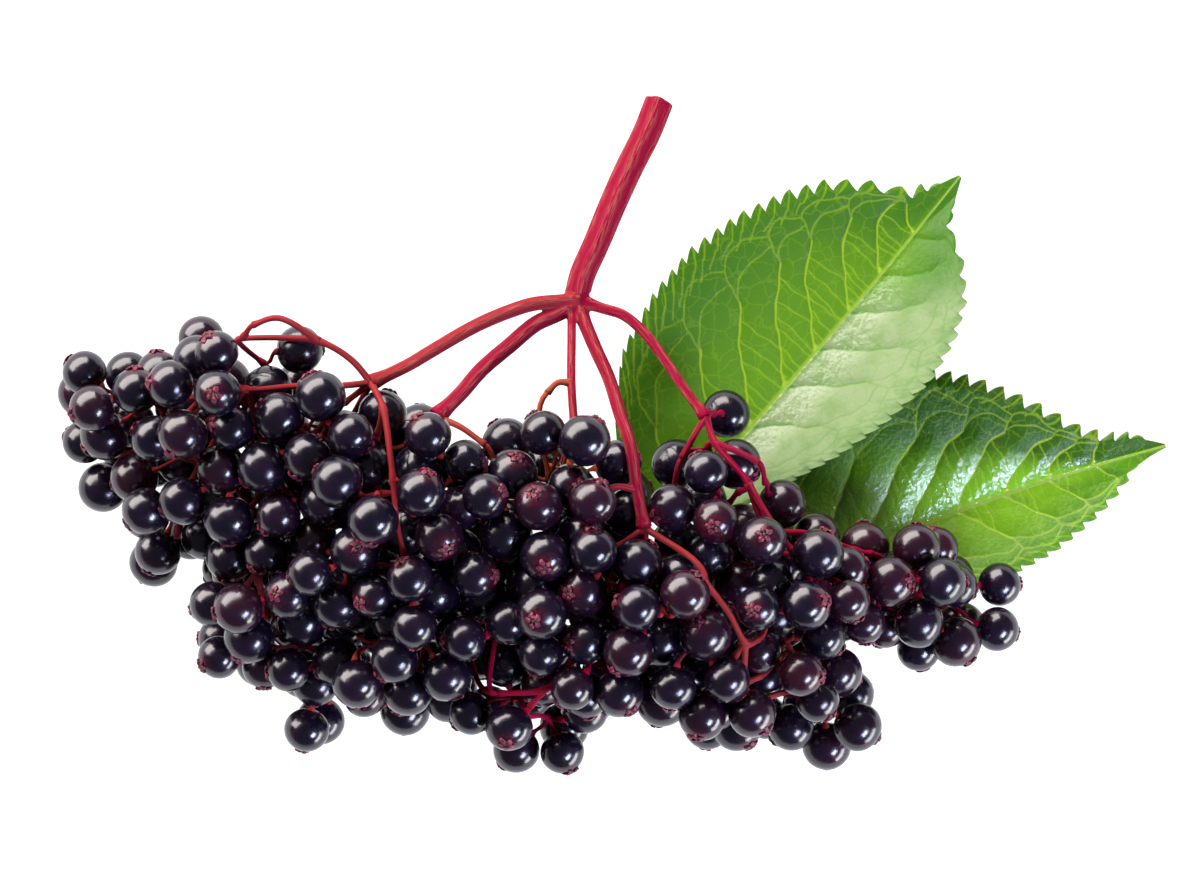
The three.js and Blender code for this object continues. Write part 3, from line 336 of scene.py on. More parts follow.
# %% Leaflets
# base and tip are the rib's ends on the table, and bow is how far it bulges to the left between
# them. rib has the heights of the four points that shape its curve, and rise how far the left and
# the right half fold up. left and right are the half widths at shares of the length. All in mm.
LEAVES = {
    "leaf_1": {
        "base": (5.6, -16.2), "tip": (51.8, 38), "bow": -0.6,
        "rib": (6.5, 4.6, 1.6, -0.6), "rise": (2.5, 8.5),
        "left": [(0, 0.6), (0.04, 0.6), (0.07, 11.5), (0.15, 17.2), (0.25, 21.6), (0.38, 23.6),
                 (0.5, 23.7), (0.62, 21.6), (0.72, 18.4), (0.8, 14.6), (0.86, 9.2), (0.9, 4.0),
                 (0.95, 2.1), (1, 0.3)],
        "right": [(0, 0.6), (0.04, 0.6), (0.1, 4.2), (0.2, 7.6), (0.27, 9.4), (0.38, 12.3),
                  (0.5, 14.4), (0.62, 15.4), (0.72, 14.3), (0.8, 11.9), (0.86, 7.9), (0.9, 3.3),
                  (0.95, 1.8), (1, 0.3)],
    },
    "leaf_2": {
        "base": (18.1, -26.4), "tip": (82.8, -2.6), "bow": 1.6,
        "rib": (2.8, 0.2, -0.4, -0.6), "rise": (1.2, 5.5),
        "left": [(0, 0.6), (0.04, 0.6), (0.07, 8.5), (0.13, 14), (0.22, 18.6), (0.35, 21.3),
                 (0.47, 21.6), (0.56, 20.8), (0.64, 17.8), (0.71, 13.9), (0.77, 9.9), (0.83, 5.4),
                 (0.88, 3.3), (0.94, 2.6), (1, 0.3)],
        "right": [(0, 0.6), (0.04, 0.6), (0.07, 5.7), (0.12, 7.9), (0.22, 9.6), (0.35, 10.9),
                  (0.5, 11.2), (0.6, 11.2), (0.68, 10.3), (0.75, 8.6), (0.81, 6.8), (0.86, 4.8),
                  (0.91, 2.3), (0.96, 1), (1, 0.3)],
    },
}
BLADE_THICKNESS = 0.6
TEETH = 31
TOOTH_DEPTH = 0.95
TOOTH_LEAN = 0.7  # share of a tooth's length at which its point lies
TOOTHLESS_WIDTH = 1.6
FULL_WIDTHS = (24, 15)  # half widths, left and right, at which a half has its whole rise


def half_width(leaf, side, share):
    """Half width of the blade at shares of its length, on the left (side 1) or the right (-1)."""
    outline = leaf["left"] if side > 0 else leaf["right"]
    return np.interp(share, [s for s, _ in outline], [w for _, w in outline])


def blade_height(leaf, side, share, across):
    """Height of the blade's middle surface. across is 0 at the rib and 1 at the edge."""
    a, b, c, d = leaf["rib"]
    rest = 1 - share
    rib = a * rest ** 3 + 3 * b * rest ** 2 * share + 3 * c * rest * share ** 2 + d * share ** 3
    index = 0 if side > 0 else 1
    fold = leaf["rise"][index] * np.minimum(half_width(leaf, side, share) / FULL_WIDTHS[index], 1)
    return np.maximum(rib + fold * (across + across ** 2) / 2, BLADE_THICKNESS / 2)


def leaf_axes(leaf):
    """Base, unit vector along the rib, length, unit vector to the left."""
    base = np.array(leaf["base"], float)
    along = np.array(leaf["tip"], float) - base
    length = np.linalg.norm(along)
    along = along / length
    return base, along, length, np.array([-along[1], along[0]])


def bowed(leaf, share):
    """How far to the left the rib lies of the straight line between its ends."""
    return leaf["bow"] * 4 * share * (1 - share)


for name, leaf in LEAVES.items():
    print(name, "length:", round(leaf_axes(leaf)[2], 1), "mm")

# %% [markdown]
# ## Letting the berries settle
# Each hub's pedicels open like an umbrella about the line on which their stalk arrives. Placed by
# that rule alone, neighbours would grow into each other. So the berries are nudged apart, a little
# at a time, from each other, from every stalk, from the leaflets and from the table, while each
# pedicel keeps its reach. A physics simulation could do this too, but simple repeated nudging is
# easy to read and gives the same result on every run. The rule and its numbers repeat those of the
# solids, so both bunches are the same.

# %% Hang the berries
SEED = 7
DRAW_FACTOR, DRAW_SHIFT, DRAW_RANGE = 1664525, 1013904223, 2 ** 32
BERRY_RADIUS, BERRY_SMALLEST, BERRY_RANGE = 3.55, 0.9, 0.17
PEDICEL_REACH, PEDICEL_RANGE = 5.6, 1.4
UMBRELLA_STEP = 0.4
GOLDEN_ANGLE = math.pi * (3 - math.sqrt(5))
UPPER_LIFT, LOWER_LIFT, LOWER_HEIGHT = 0.9, -0.4, 12.5  # low umbrellas open downwards
ASIDE = np.array([0.31, 0.93, 0.17])  # a direction that no stalk runs along


def unit(v):
    """Vectors of length one, along the last axis."""
    v = np.asarray(v, float)
    return v / np.linalg.norm(v, axis=-1, keepdims=True)


def draws(seed):
    """Repeatable random numbers between 0 and 1, the same in any language."""
    state = seed
    while True:
        state = (state * DRAW_FACTOR + DRAW_SHIFT) % DRAW_RANGE
        yield state / DRAW_RANGE


def hang_berries():
    """Each berry's twig number, hub, first centre and radius."""
    random = draws(SEED)
    rows = []
    for number, (_, path, hubs) in enumerate(TWIGS):
        for x, y, z, count in hubs:
            hub = np.array([x, y, z], float)
            lift = 0 if count == 1 else UPPER_LIFT if z > LOWER_HEIGHT else LOWER_LIFT
            axis = unit(unit(hub - np.array(path[-1])) + (0, 0, lift))
            across = unit(np.cross(axis, ASIDE))
            upright = np.cross(axis, across)
            first_turn = next(random) * 2 * math.pi
            for i in range(count):
                lean = 1 - (i + 0.5) / count * UMBRELLA_STEP * (count - 1)
                spread = math.sqrt(1 - lean ** 2)
                turn = first_turn + i * GOLDEN_ANGLE
                reach = PEDICEL_REACH + PEDICEL_RANGE * next(random)
                radius = BERRY_RADIUS * (BERRY_SMALLEST + BERRY_RANGE * next(random))
                aside = across * math.cos(turn) + upright * math.sin(turn)
                rows.append((number, hub, hub + (axis * lean + aside * spread) * reach, radius))
    return [np.array(column) for column in zip(*rows)]


twig_of, hubs_of, centres, radii = hang_berries()
print("berries:", len(centres), "radius from", round(radii.min(), 2), "to", round(radii.max(), 2))

# %% Bars that the berries keep clear of
TWIG_RADII = (0.55, 0.45)
STALK_RADII = (0.42, 0.36)


def path_bars(path, ends):
    """The straight pieces of a path, with the radius in the middle of each."""
    count = len(path) - 1
    mixed = [ends[0] + (ends[1] - ends[0]) * (i + 0.5) / count for i in range(count)]
    return [(path[i], path[i + 1], mixed[i]) for i in range(count)]


def stalk_bars():
    """Every straight piece of stem, twig and spray stalk: its two ends and its radius."""
    rows = []
    for _, ends, path in STEMS:
        rows += path_bars(path, ends)
    for _, path, hubs in TWIGS:
        rows += path_bars(path, TWIG_RADII)
        for hub in hubs:
            rows += path_bars([path[-1], hub[:3]], STALK_RADII)
    return [np.array(column, float) for column in zip(*rows)]


bars = stalk_bars()
print("bars:", len(bars[0]))

# %% Clearances from leaflets and bars
BERRY_GAP = 0.32  # mm that the nudging asks for, so that little overlap is left
LEAF_GAP, LEAF_AHEAD = 0.7, 1.5  # mm over a leaflet, and mm outwards at which its height is read
LEAF_SLOPE = 1.12  # a ball on a slope rests higher than on level ground
LEAF_MARGIN = 0.04  # share of the length past each end


def leaf_top_under(places, sizes):
    """The lowest height at which each ball clears every leaflet under it."""
    top = np.zeros(len(places))
    for leaf in LEAVES.values():
        base, along, length, left = leaf_axes(leaf)
        offset = places[:, :2] - base
        share = offset @ along / length
        inside = np.clip(share, 0, 1)
        sideways = offset @ left - bowed(leaf, inside)
        for side in (1, -1):
            width = half_width(leaf, side, inside)
            over = (sideways > 0) if side > 0 else (sideways <= 0)
            over &= (share >= -LEAF_MARGIN) & (share <= 1 + LEAF_MARGIN)
            over &= np.abs(sideways) <= width + sizes + TOOTH_DEPTH
            across = np.minimum((np.abs(sideways) + LEAF_AHEAD) / width, 1)
            rest = blade_height(leaf, side, inside, across) + sizes * LEAF_SLOPE + LEAF_GAP
            top = np.where(over, np.maximum(top, rest), top)
    return top


def push_from_bars(places, sizes, start, end, thickness):
    """Pushes that clear each ball of each bar, and how far along the bar each one is."""
    bar = end - start
    share = ((places[:, None] - start) * bar).sum(-1) / ((bar ** 2).sum(-1) + TINY)
    share = np.clip(share, 0, 1)
    away = places[:, None] - (start + bar * share[..., None])
    distance = np.linalg.norm(away, axis=-1) + TINY
    short = np.maximum(sizes[:, None] + thickness + BERRY_GAP - distance, 0)
    return away * (short / distance)[..., None], share


print("berries over a leaflet:", int((leaf_top_under(centres, radii) > 0).sum()))

# %% Settle
SETTLE_STEPS, SETTLE_RATE = 120, 0.6
BERRY_PUSH, PEDICEL_PUSH, STALK_PUSH, PEDICEL_PULL = 0.5, 0.4, 0.6, 0.7  # shares of each fault
PEDICEL_RADIUS = 0.4
PEDICEL_LIMITS = (5.0, 8.8)  # shortest and longest, in mm
BOX_HALF = (83.3, 50.7)  # no berry lies further left or nearer than this


def settle(places):
    """Nudges the berries until they keep clear of all that is round them."""
    others = 1 - np.eye(len(places))
    for _ in range(SETTLE_STEPS):
        away = places[:, None] - places
        distance = np.linalg.norm(away, axis=-1) + TINY
        short = np.maximum(radii[:, None] + radii + BERRY_GAP - distance, 0) * others
        moves = (away * (short / distance)[..., None]).sum(1) * BERRY_PUSH
        off, share = push_from_bars(places, radii, hubs_of, places, PEDICEL_RADIUS)
        off *= others[..., None]
        moves += off.sum(1) * PEDICEL_PUSH
        moves -= (off * share[..., None]).sum(0) * PEDICEL_PUSH
        moves += push_from_bars(places, radii, *bars)[0].sum(1) * STALK_PUSH
        pedicel = places - hubs_of
        reach = np.linalg.norm(pedicel, axis=-1)
        moves += pedicel * ((np.clip(reach, *PEDICEL_LIMITS) - reach) / reach * PEDICEL_PULL)[:, None]
        places = places + moves * SETTLE_RATE
        floor = np.maximum(radii, leaf_top_under(places, radii))
        places[:, 2] = np.maximum(places[:, 2], floor)
        places[:, :2] = np.maximum(places[:, :2], radii[:, None] - BOX_HALF)
    return places


centres = settle(centres)
apart = np.linalg.norm(centres[:, None] - centres, axis=-1) - radii[:, None] - radii
np.fill_diagonal(apart, np.inf)
print("closest berries:", round(apart.min(), 2), "mm apart,",
      "highest:", round((centres[:, 2] + radii).max(), 1), "mm")

# %% [markdown]
# ## Meshes from arrays
# A bunch has hundreds of nearly equal small forms. They could be objects with modifiers, but that
# would be slow and hard to hand over. So each is worked out as arrays of points and triangles, and
# gathered into one mesh for each part of the bunch. Values for the finishes, such as how far along
# a berry a point lies, travel with the points as named attributes.


# %% Gather and make
class Gathered:
    """Points, triangles and values by point, gathered from many small forms."""

    def __init__(self):
        self.points, self.faces, self.values, self.count = [], [], {}, 0

    def add(self, points, faces, **values):
        """Takes in one more form. A value is one number for it all, or one for each point."""
        self.points.append(points)
        self.faces.append(faces + self.count)
        self.count += len(points)
        for name, value in values.items():
            value = np.broadcast_to(value, (len(points),) + np.shape(value)[1:])
            self.values.setdefault(name, []).append(value)

    def piece(self, name, finish, slot, stands_for):
        """Makes the object, which rides on the bunch and stands for the named solids."""
        points, faces = np.concatenate(self.points), np.concatenate(self.faces)
        points[:, 2] = np.maximum(points[:, 2], 0)  # what touches the table is pressed flat
        mesh = bpy.data.meshes.new(name)
        mesh.from_pydata(points * MM, [], faces)
        for key, parts in self.values.items():
            value = np.concatenate(parts).astype(np.float32)
            kind, field = ("FLOAT_VECTOR", "vector") if value.ndim > 1 else ("FLOAT", "value")
            mesh.attributes.new(key, kind, "POINT").data.foreach_set(field, value.ravel())
        mesh.shade_smooth()
        mesh.materials.append(finish)
        made = bpy.data.objects.new(name, mesh)
        bpy.context.scene.collection.objects.link(made)
        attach(made, "root")
        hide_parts(*stands_for)
        print(name, "triangles:", len(faces))


print("a gathered mesh keeps:", list(vars(Gathered())))


# %% Faces between rings
def grid_faces(rows, columns, closed):
    """Triangles between the points of a grid, whose rows close on themselves where asked."""
    across = np.arange(columns if closed else columns - 1)
    a = (np.arange(rows - 1)[:, None] * columns + across).ravel()
    b = (np.arange(rows - 1)[:, None] * columns + (across + 1) % columns).ravel()
    lower = np.stack([a, b, b + columns], 1)
    upper = np.stack([a, b + columns, a + columns], 1)
    return np.concatenate([lower, upper])


def pointed_faces(rows, columns):
    """Closed rings, and at each end a fan round one more point, after those of the rings."""
    k = np.arange(columns)
    after = (k + 1) % columns
    end = (rows - 1) * columns
    first, last = np.full(columns, rows * columns), np.full(columns, rows * columns + 1)
    return np.concatenate([grid_faces(rows, columns, True), np.stack([after, k, first], 1),
                           np.stack([end + k, end + after, last], 1)])


def blunt_faces(rows, columns):
    """Closed rings, with a flat cap across each end."""
    k = np.arange(1, columns - 1)
    end = (rows - 1) * columns
    return np.concatenate([grid_faces(rows, columns, True), np.stack([k * 0, k + 1, k], 1),
                           np.stack([k * 0 + end, k + end, k + 1 + end], 1)])


def round_turn(sides):
    """Equal steps of angle round a circle."""
    return np.arange(sides) / sides * 2 * math.pi


print("a blunt form of 2 rings of 4 points:", len(blunt_faces(2, 4)), "triangles")


# %% Smooth routes and tubes
def smooth_route(points, step):
    """A smooth curve through the points, with a point about every step, by Catmull and Rom."""
    p = np.array(points, float)
    p = np.concatenate([2 * p[:1] - p[1:2], p, 2 * p[-1:] - p[-2:-1]])
    parts = []
    for i in range(1, len(p) - 2):
        count = max(2, math.ceil(np.linalg.norm(p[i + 1] - p[i]) / step))
        t = np.linspace(0, 1, count, endpoint=False)[:, None]
        a, b, c, d = p[i - 1:i + 3]
        parts.append(0.5 * (2 * b + (c - a) * t + (2 * a - 5 * b + 4 * c - d) * t ** 2
                            + (3 * b - a - 3 * c + d) * t ** 3))
    return np.concatenate(parts + [p[-2:-1]])


def bezier(a, b, c, d, count):
    """A curve from a to d that leaves towards b and arrives from c."""
    t = np.linspace(0, 1, count)[:, None]
    return a * (1 - t) ** 3 + 3 * b * t * (1 - t) ** 2 + 3 * c * t ** 2 * (1 - t) + d * t ** 3


def run_length(route):
    """How far along the route each of its points lies."""
    return np.concatenate([[0], np.cumsum(np.linalg.norm(np.diff(route, axis=0), axis=1))])


def route_axes(route):
    """For each point of a route, its direction and two directions across it that don't twist."""
    along = unit(np.gradient(route, axis=0))
    side = unit(np.cross(ASIDE, along[0]))
    sides = []
    for direction in along:
        side = unit(side - direction * (side @ direction))
        sides.append(side)
    sides = np.array(sides)
    return along, sides, np.cross(along, sides)


def swelling(far, place, height, length):
    """A soft swelling of this height about a place on a route."""
    return height * np.exp(-((far - place) / length) ** 2)


def tube(route, thickness, sides, flute=None):
    """A closed tube. flute gives a share to widen by at an angle and a distance along the tube.
    Returns points, triangles, and the angle and distance of each point."""
    _, side, up = route_axes(route)
    far = run_length(route)
    turn = round_turn(sides)
    widen = 1 + (flute(turn[None], far[:, None]) if flute else 0)
    reach = (thickness[:, None] * widen)[..., None]
    ring = side[:, None] * np.cos(turn)[:, None] + up[:, None] * np.sin(turn)[:, None]
    points = np.concatenate([(route[:, None] + ring * reach).reshape(-1, 3), route[:1], route[-1:]])
    angles = np.concatenate([np.tile(turn, len(route)), [0, 0]])
    distances = np.concatenate([np.repeat(far, sides), [0, far[-1]]])
    return points, pointed_faces(len(route), sides), angles, distances


print("the peduncle is", round(run_length(smooth_route(STEMS[0][2], 1))[-1], 1), "mm long")

# %% [markdown]
# ## Recipes for living surfaces
# Berries, calyxes, stems and leaflets all have a soft, patchy colouring. It could be painted on,
# but a pattern worked out from each point's place holds at any size. Noise makes the patches, a map
# range node decides how much of a colour each one takes, and the colours are laid on in coats.
#
# Each pattern's scale comes from a real size. Object coordinates are in metres, so a noise whose
# spots are d millimetres wide has a scale of 1000 / d.

# %% Shares and coats
MIX_SHARE, MIX_A, MIX_B, MIX_RESULT = 0, 6, 7, 2  # a Mix node's sockets for colours
SOFTLY = {"interpolation_type": "SMOOTHSTEP"}  # a map range with soft corners


def spots(width_mm, detail=2.0):
    """A noise node's inputs, for spots of about this width. Noise runs from about 0.3 to 0.7."""
    return {"Scale": 1 / (width_mm * MM), "Detail": detail}


def span(low, high, start=0.0, end=1.0):
    """A map range node's inputs: what goes from low to high becomes start to end."""
    return {"From Min": low, "From Max": high, "To Min": start, "To Max": end}


def layered(tree, base, *coats):
    """The base colour under its coats. A coat is how much of it shows, and its colour."""
    for share, coat in coats:
        base = add_node(tree, "Mix", {MIX_SHARE: share, MIX_A: base, MIX_B: coat}, MIX_RESULT,
                        data_type="RGBA")
    return base


def relief(height, depth_mm):
    """A bump node's inputs, for a relief of this depth."""
    return {"Height": height, "Distance": depth_mm * MM, "Strength": 1.0}


print("noise scale for spots of 2 mm:", round(spots(2)["Scale"]))

# %% [markdown]
# ## Berry skin
# An elderberry is a tight, thin skin over dark juice, under its own wax. To the eye that is nearly
# black, with a glossy but slightly soft reflection, cloudy where the wax is thick, and reddish
# round the calyx, where the juice shines through. A clear coat over a dark base could do it. One
# glossy layer with its roughness in patches looks the same and is simpler.


# %% Berry skin
def berry_skin_finish():
    """Taut and waxed. Fruit skin has an index near 1.5. Its pores are about a tenth of a millimetre
    apart, too fine to show, so they are drawn four times as wide."""
    made, tree, shader = start_finish("waxy_berry_skin")
    place = add_node(tree, "TexCoord", output="Object")
    tone, polar = [add_node(tree, "Attribute", output="Fac", attribute_name=name)
                   for name in ("tone", "polar")]
    clouds = add_node(tree, "TexNoise", {"Vector": place, **spots(2.6)})
    freckles = add_node(tree, "TexNoise", {"Vector": place, **spots(0.7)})
    smears = add_node(tree, "TexNoise", {"Vector": place, **spots(1.1, 4.0)})
    pores = add_node(tree, "TexNoise", {"Vector": place, **spots(0.4, 4.0)})
    redder = add_node(tree, "MapRange", {"Value": tone, **span(0.5, 1)}, **SOFTLY)
    cloudy = add_node(tree, "MapRange", {"Value": clouds, **span(0.42, 0.66, 0, 0.6)}, **SOFTLY)
    crown = add_node(tree, "MapRange", {"Value": polar, **span(0.74, 0.9, 0, 0.8)}, **SOFTLY)
    freckled = add_node(tree, "MapRange", {"Value": freckles, **span(0.38, 0.6, 0.2, 1)}, **SOFTLY)
    blush = add_node(tree, "Math", {0: crown, 1: freckled}, operation="MULTIPLY")
    dull = add_node(tree, "MapRange", {"Value": smears, **span(0.35, 0.7, 0.17, 0.25)}, **SOFTLY)
    fill(tree, shader, {
        "Base Color": layered(tree, "0A0612", (redder, "260814"), (cloudy, "180A1C"),
                              (blush, "3C0A18")),
        "Roughness": dull,
        "IOR": 1.5,
        "Normal": add_node(tree, "Bump", relief(pores, 0.014))})
    return made


berry_skin = berry_skin_finish()
print(berry_skin.name, "nodes:", len(berry_skin.node_tree.nodes))

# %% [markdown]
# ## Dried calyx
# The calyx is what is left of the flower: five small lips round the stub of the style. They dry to
# a crumbly crimson with worn tan patches. Dead tissue is matt, so the finish is rough and its
# relief coarse. The stub could be a piece with a finish of its own, but one value that travels with
# the points is enough to tell it from the lips.


# %% Dried calyx
def calyx_finish():
    """Dry and crumbly, with an index a little below that of the fresh skin."""
    made, tree, shader = start_finish("dried_calyx")
    place = add_node(tree, "TexCoord", output="Object")
    stub = add_node(tree, "Attribute", output="Fac", attribute_name="stub")
    flecks = add_node(tree, "TexNoise", {"Vector": place, **spots(0.3)})
    scuffs = add_node(tree, "TexNoise", {"Vector": place, **spots(0.45, 4.0)})
    crumbs = add_node(tree, "TexNoise", {"Vector": place, **spots(0.2)})
    crimson = add_node(tree, "MapRange", {"Value": flecks, **span(0.4, 0.6)}, **SOFTLY)
    tan_marks = add_node(tree, "MapRange", {"Value": scuffs, **span(0.54, 0.66, 0, 0.35)}, **SOFTLY)
    fill(tree, shader, {
        "Base Color": layered(tree, "2C0410", (crimson, "760E36"), (tan_marks, "7E503C"),
                              (stub, "50422A")),
        "Roughness": 0.55,
        "IOR": 1.45,
        "Normal": add_node(tree, "Bump", relief(crumbs, 0.05))})
    return made


calyx_skin = calyx_finish()
print(calyx_skin.name, "nodes:", len(calyx_skin.node_tree.nodes))

# %% [markdown]
# ## Stem skin
# The stem frame is juicy tissue under a satin red skin, with ribs that run its whole length. The
# strands follow the ribs: pink and dark ones between, and tan along the crests, partly worn skin
# and partly a painted highlight, the glint that the ridges catch. Plain noise would give round
# blots. So each point carries its place round and along its own stem, with the length pressed
# together, and the noise reads that and comes out as long streaks.

# %% Stem skin
STRAND_SCALE, STREAK_SCALE = 3.2, 7.0  # spots in a millimetre across the stem
# how much tan the crests take: worn skin, with a painted highlight along the ridges
CREST_PALENESS = 0.42


def stem_skin_finish():
    """Water-filled tissue, so the index is low, and the skin is satin. The cells are drawn 0.2 mm
    wide, some four times their real width, so that they show."""
    made, tree, shader = start_finish("ribbed_stem_skin")
    place = add_node(tree, "TexCoord", output="Object")
    tone, crest = [add_node(tree, "Attribute", output="Fac", attribute_name=name)
                   for name in ("tone", "crest")]
    strand = add_node(tree, "Attribute", output="Vector", attribute_name="strand")
    strands = add_node(tree, "TexNoise", {"Vector": strand, "Scale": STRAND_SCALE, "Detail": 4.0})
    streaks = add_node(tree, "TexNoise", {"Vector": strand, "Scale": STREAK_SCALE, "Detail": 3.0})
    grains = add_node(tree, "TexNoise", {"Vector": place, **spots(0.2)})
    crimson = add_node(tree, "MapRange", {"Value": tone, **span(0, 0.5)}, **SOFTLY)
    russet = add_node(tree, "MapRange", {"Value": tone, **span(0.5, 1)}, **SOFTLY)
    pink = add_node(tree, "MapRange", {"Value": strands, **span(0.5, 0.72, 0, 0.5)}, **SOFTLY)
    dark = add_node(tree, "MapRange", {"Value": strands, **span(0.3, 0.44, 0.45, 0)}, **SOFTLY)
    satin = add_node(tree, "MapRange", {"Value": strands, **span(0.3, 0.7, 0.5, 0.7)}, **SOFTLY)
    broken = add_node(tree, "MapRange", {"Value": streaks, **span(0.42, 0.6)}, **SOFTLY)
    # broken tan along the crests: partly worn skin, partly a painted highlight on the ridges
    tan_marks = add_node(tree, "Math", {0: crest, 1: broken}, operation="MULTIPLY")
    tan = add_node(tree, "Math", {0: tan_marks, 1: CREST_PALENESS}, operation="MULTIPLY")
    rough = add_node(tree, "Math", {0: strands, 1: grains}, operation="ADD")
    fill(tree, shader, {
        "Base Color": layered(tree, "700022", (crimson, "700222"), (russet, "944E2A"),
                              (pink, "7E1034"), (tan, "966048"), (dark, "5E0018")),
        "Roughness": satin,
        "IOR": 1.38,
        "Specular IOR Level": 0.06,
        "Normal": add_node(tree, "Bump", relief(rough, 0.05))})
    return made


stem_skin = stem_skin_finish()
print(stem_skin.name, "nodes:", len(stem_skin.node_tree.nodes))

# %% [markdown]
# ## Leaf blade
# A leaflet is a green sheet under a waxy cuticle: freshest beside the rib, deeper outwards, with
# pale veins, a fine net between them and a pale hem. The veins could be painted on a flat image,
# but that has to be unwrapped and blurs close by. So each point carries its distance from the
# nearest vein, and the finish only has to fade a line over it. The wax is a clear coat with its
# own crumpled surface, because the lower leaflet looks wet where it catches the light.

# %% Leaf blade
RIB_COLOUR = "6E8A2C"
VEIN_SOFTNESS = 0.2  # mm over which a vein fades into the tissue
MAIN_VEIN_STRENGTH, FINE_VEIN_STRENGTH, NET_STRENGTH = 0.62, 0.38, 0.14
NET_MESH, NET_DRIFT, DRIFT_WIDTH = 2.6, 1.6, 2.2  # mm: a mesh of the net, and how it is bent


def leaf_finish(name, near_rib, near_edge, vein, gloss, bumps):
    """Waxy cuticle, index near 1.45. near_rib, near_edge and vein are pairs of colours: the left
    half's and the right half's. gloss is the range of roughness, and bumps their depth in mm. Real
    cells are far too fine to show, so the bumps are drawn 0.6 mm wide."""
    made, tree, shader = start_finish(name)
    place = add_node(tree, "TexCoord", output="Object")
    outer, right_half, right_green_and_sheen, on_rib, wax = [
        add_node(tree, "Attribute", output="Fac", attribute_name=value)
        for value in ("outwards", "right_half", "right_green_and_sheen", "rib", "wax")]
    deeper = add_node(tree, "MapRange", {"Value": outer, **span(0.1, 0.95)}, **SOFTLY)
    left = layered(tree, near_rib[0], (deeper, near_edge[0]))
    right = layered(tree, near_rib[1], (deeper, near_edge[1]))
    pale = layered(tree, vein[0], (right_half, vein[1]))

    blots = add_node(tree, "TexNoise", {"Vector": place, **spots(3.0, 3.0)})
    mottle = add_node(tree, "MapRange", {"Value": blots, **span(0.4, 0.7, 0, 0.4)}, **SOFTLY)
    drift = add_node(tree, "TexNoise", {"Vector": place, **spots(DRIFT_WIDTH)}, output="Color")
    bent = add_node(tree, "VectorMath", {0: drift, 1: (NET_DRIFT * MM,) * 3, 2: place},
                    operation="MULTIPLY_ADD")
    net = add_node(tree, "TexVoronoi", {"Vector": bent, "Scale": 1 / (NET_MESH * MM)},
                   output="Distance", feature="DISTANCE_TO_EDGE")
    netted = add_node(tree, "MapRange", {"Value": net, **span(0.015, 0.05, NET_STRENGTH, 0)}, **SOFTLY)
    # the right half's colours; on the upper leaflet their pale grey-green is painted sheen, broken up
    # by blots of the left half's green
    coats = [(right_green_and_sheen, right), (mottle, left), (netted, pale)]
    for line, strength in (("fine", FINE_VEIN_STRENGTH), ("main", MAIN_VEIN_STRENGTH)):
        away = add_node(tree, "Attribute", output="Fac", attribute_name=line)
        width = add_node(tree, "Attribute", output="Fac", attribute_name=line + "_width")
        faded = add_node(tree, "Math", {0: width, 1: VEIN_SOFTNESS}, operation="ADD")
        drawn = add_node(tree, "MapRange", {"Value": away, **span(width, faded, strength, 0)}, **SOFTLY)
        coats.append((drawn, pale))
    coats.append((on_rib, RIB_COLOUR))

    cells = add_node(tree, "TexNoise", {"Vector": place, **spots(0.6, 3.0)})
    sheen = add_node(tree, "MapRange", {"Value": cells, **span(0.35, 0.65, *gloss)}, **SOFTLY)
    crumple = add_node(tree, "TexNoise", {"Vector": place, **spots(0.9, 3.0)})
    fill(tree, shader, {
        "Base Color": layered(tree, left, *coats),
        "Roughness": sheen,
        "IOR": 1.45,
        "Specular IOR Level": 0.22,
        "Normal": add_node(tree, "Bump", relief(cells, bumps)),
        "Coat Weight": wax,
        "Coat Roughness": 0.045,
        "Coat IOR": 1.6,
        "Coat Normal": add_node(tree, "Bump", relief(crumple, 0.3))})
    return made


leaf_skins = {
    # The upper leaflet's right half is a pale grey-green, painted sheen of the half that faces the key
    # softbox, and its veins there are a darker green, painted shade along their grooves.
    "leaf_1": leaf_finish(
        "soft_leaf_blade", near_rib=("4A7404", "6B7D52"), near_edge=("305C02", "647A4C"),
        vein=("809C1C", "3C6A10"), gloss=(0.45, 0.55), bumps=0.08),
    "leaf_2": leaf_finish(
        "glossy_leaf_blade", near_rib=("649A0A", "5C8606"), near_edge=("264C02", "427006"),
        vein=("84A022", "86A02E"), gloss=(0.4, 0.5), bumps=0.14),
}
for skin in leaf_skins.values():
    print(skin.name, "nodes:", len(skin.node_tree.nodes))

# %% [markdown]
# ## Stem frame
# The thick stems grew as one, so a fork is a smooth crotch and not two tubes stuck through each
# other. Bridging tubes by hand would be slow. Here they are laid out as plain round tubes, and a
# voxel remesh melts them into one skin. On that skin the ribs are raised: each point asks the
# nearest stem which way round it lies, and moves in or out with the rib pattern.

# %% Melting tubes into one skin
STEM_VOXEL = 0.16
STEM_SOFTENING = 6  # times that the skin is smoothed


def melted(points, faces):
    """One continuous skin round overlapping closed forms."""
    mesh = bpy.data.meshes.new("rough")
    mesh.from_pydata(points, [], faces)
    rough = bpy.data.objects.new("rough", mesh)
    bpy.context.scene.collection.objects.link(rough)
    remesh = rough.modifiers.new("melt", "REMESH")
    remesh.mode = "VOXEL"
    remesh.voxel_size = STEM_VOXEL
    soften = rough.modifiers.new("soften", "SMOOTH")
    soften.iterations = STEM_SOFTENING
    skin = rough.evaluated_get(bpy.context.evaluated_depsgraph_get()).to_mesh()
    skin.calc_loop_triangles()
    found = np.empty(len(skin.vertices) * 3, np.float32)
    skin.vertices.foreach_get("co", found)
    triangles = np.empty(len(skin.loop_triangles) * 3, np.int32)
    skin.loop_triangles.foreach_get("vertices", triangles)
    rough.to_mesh_clear()
    bpy.data.objects.remove(rough)
    bpy.data.meshes.remove(mesh)
    return found.reshape(-1, 3).astype(float), triangles.reshape(-1, 3)


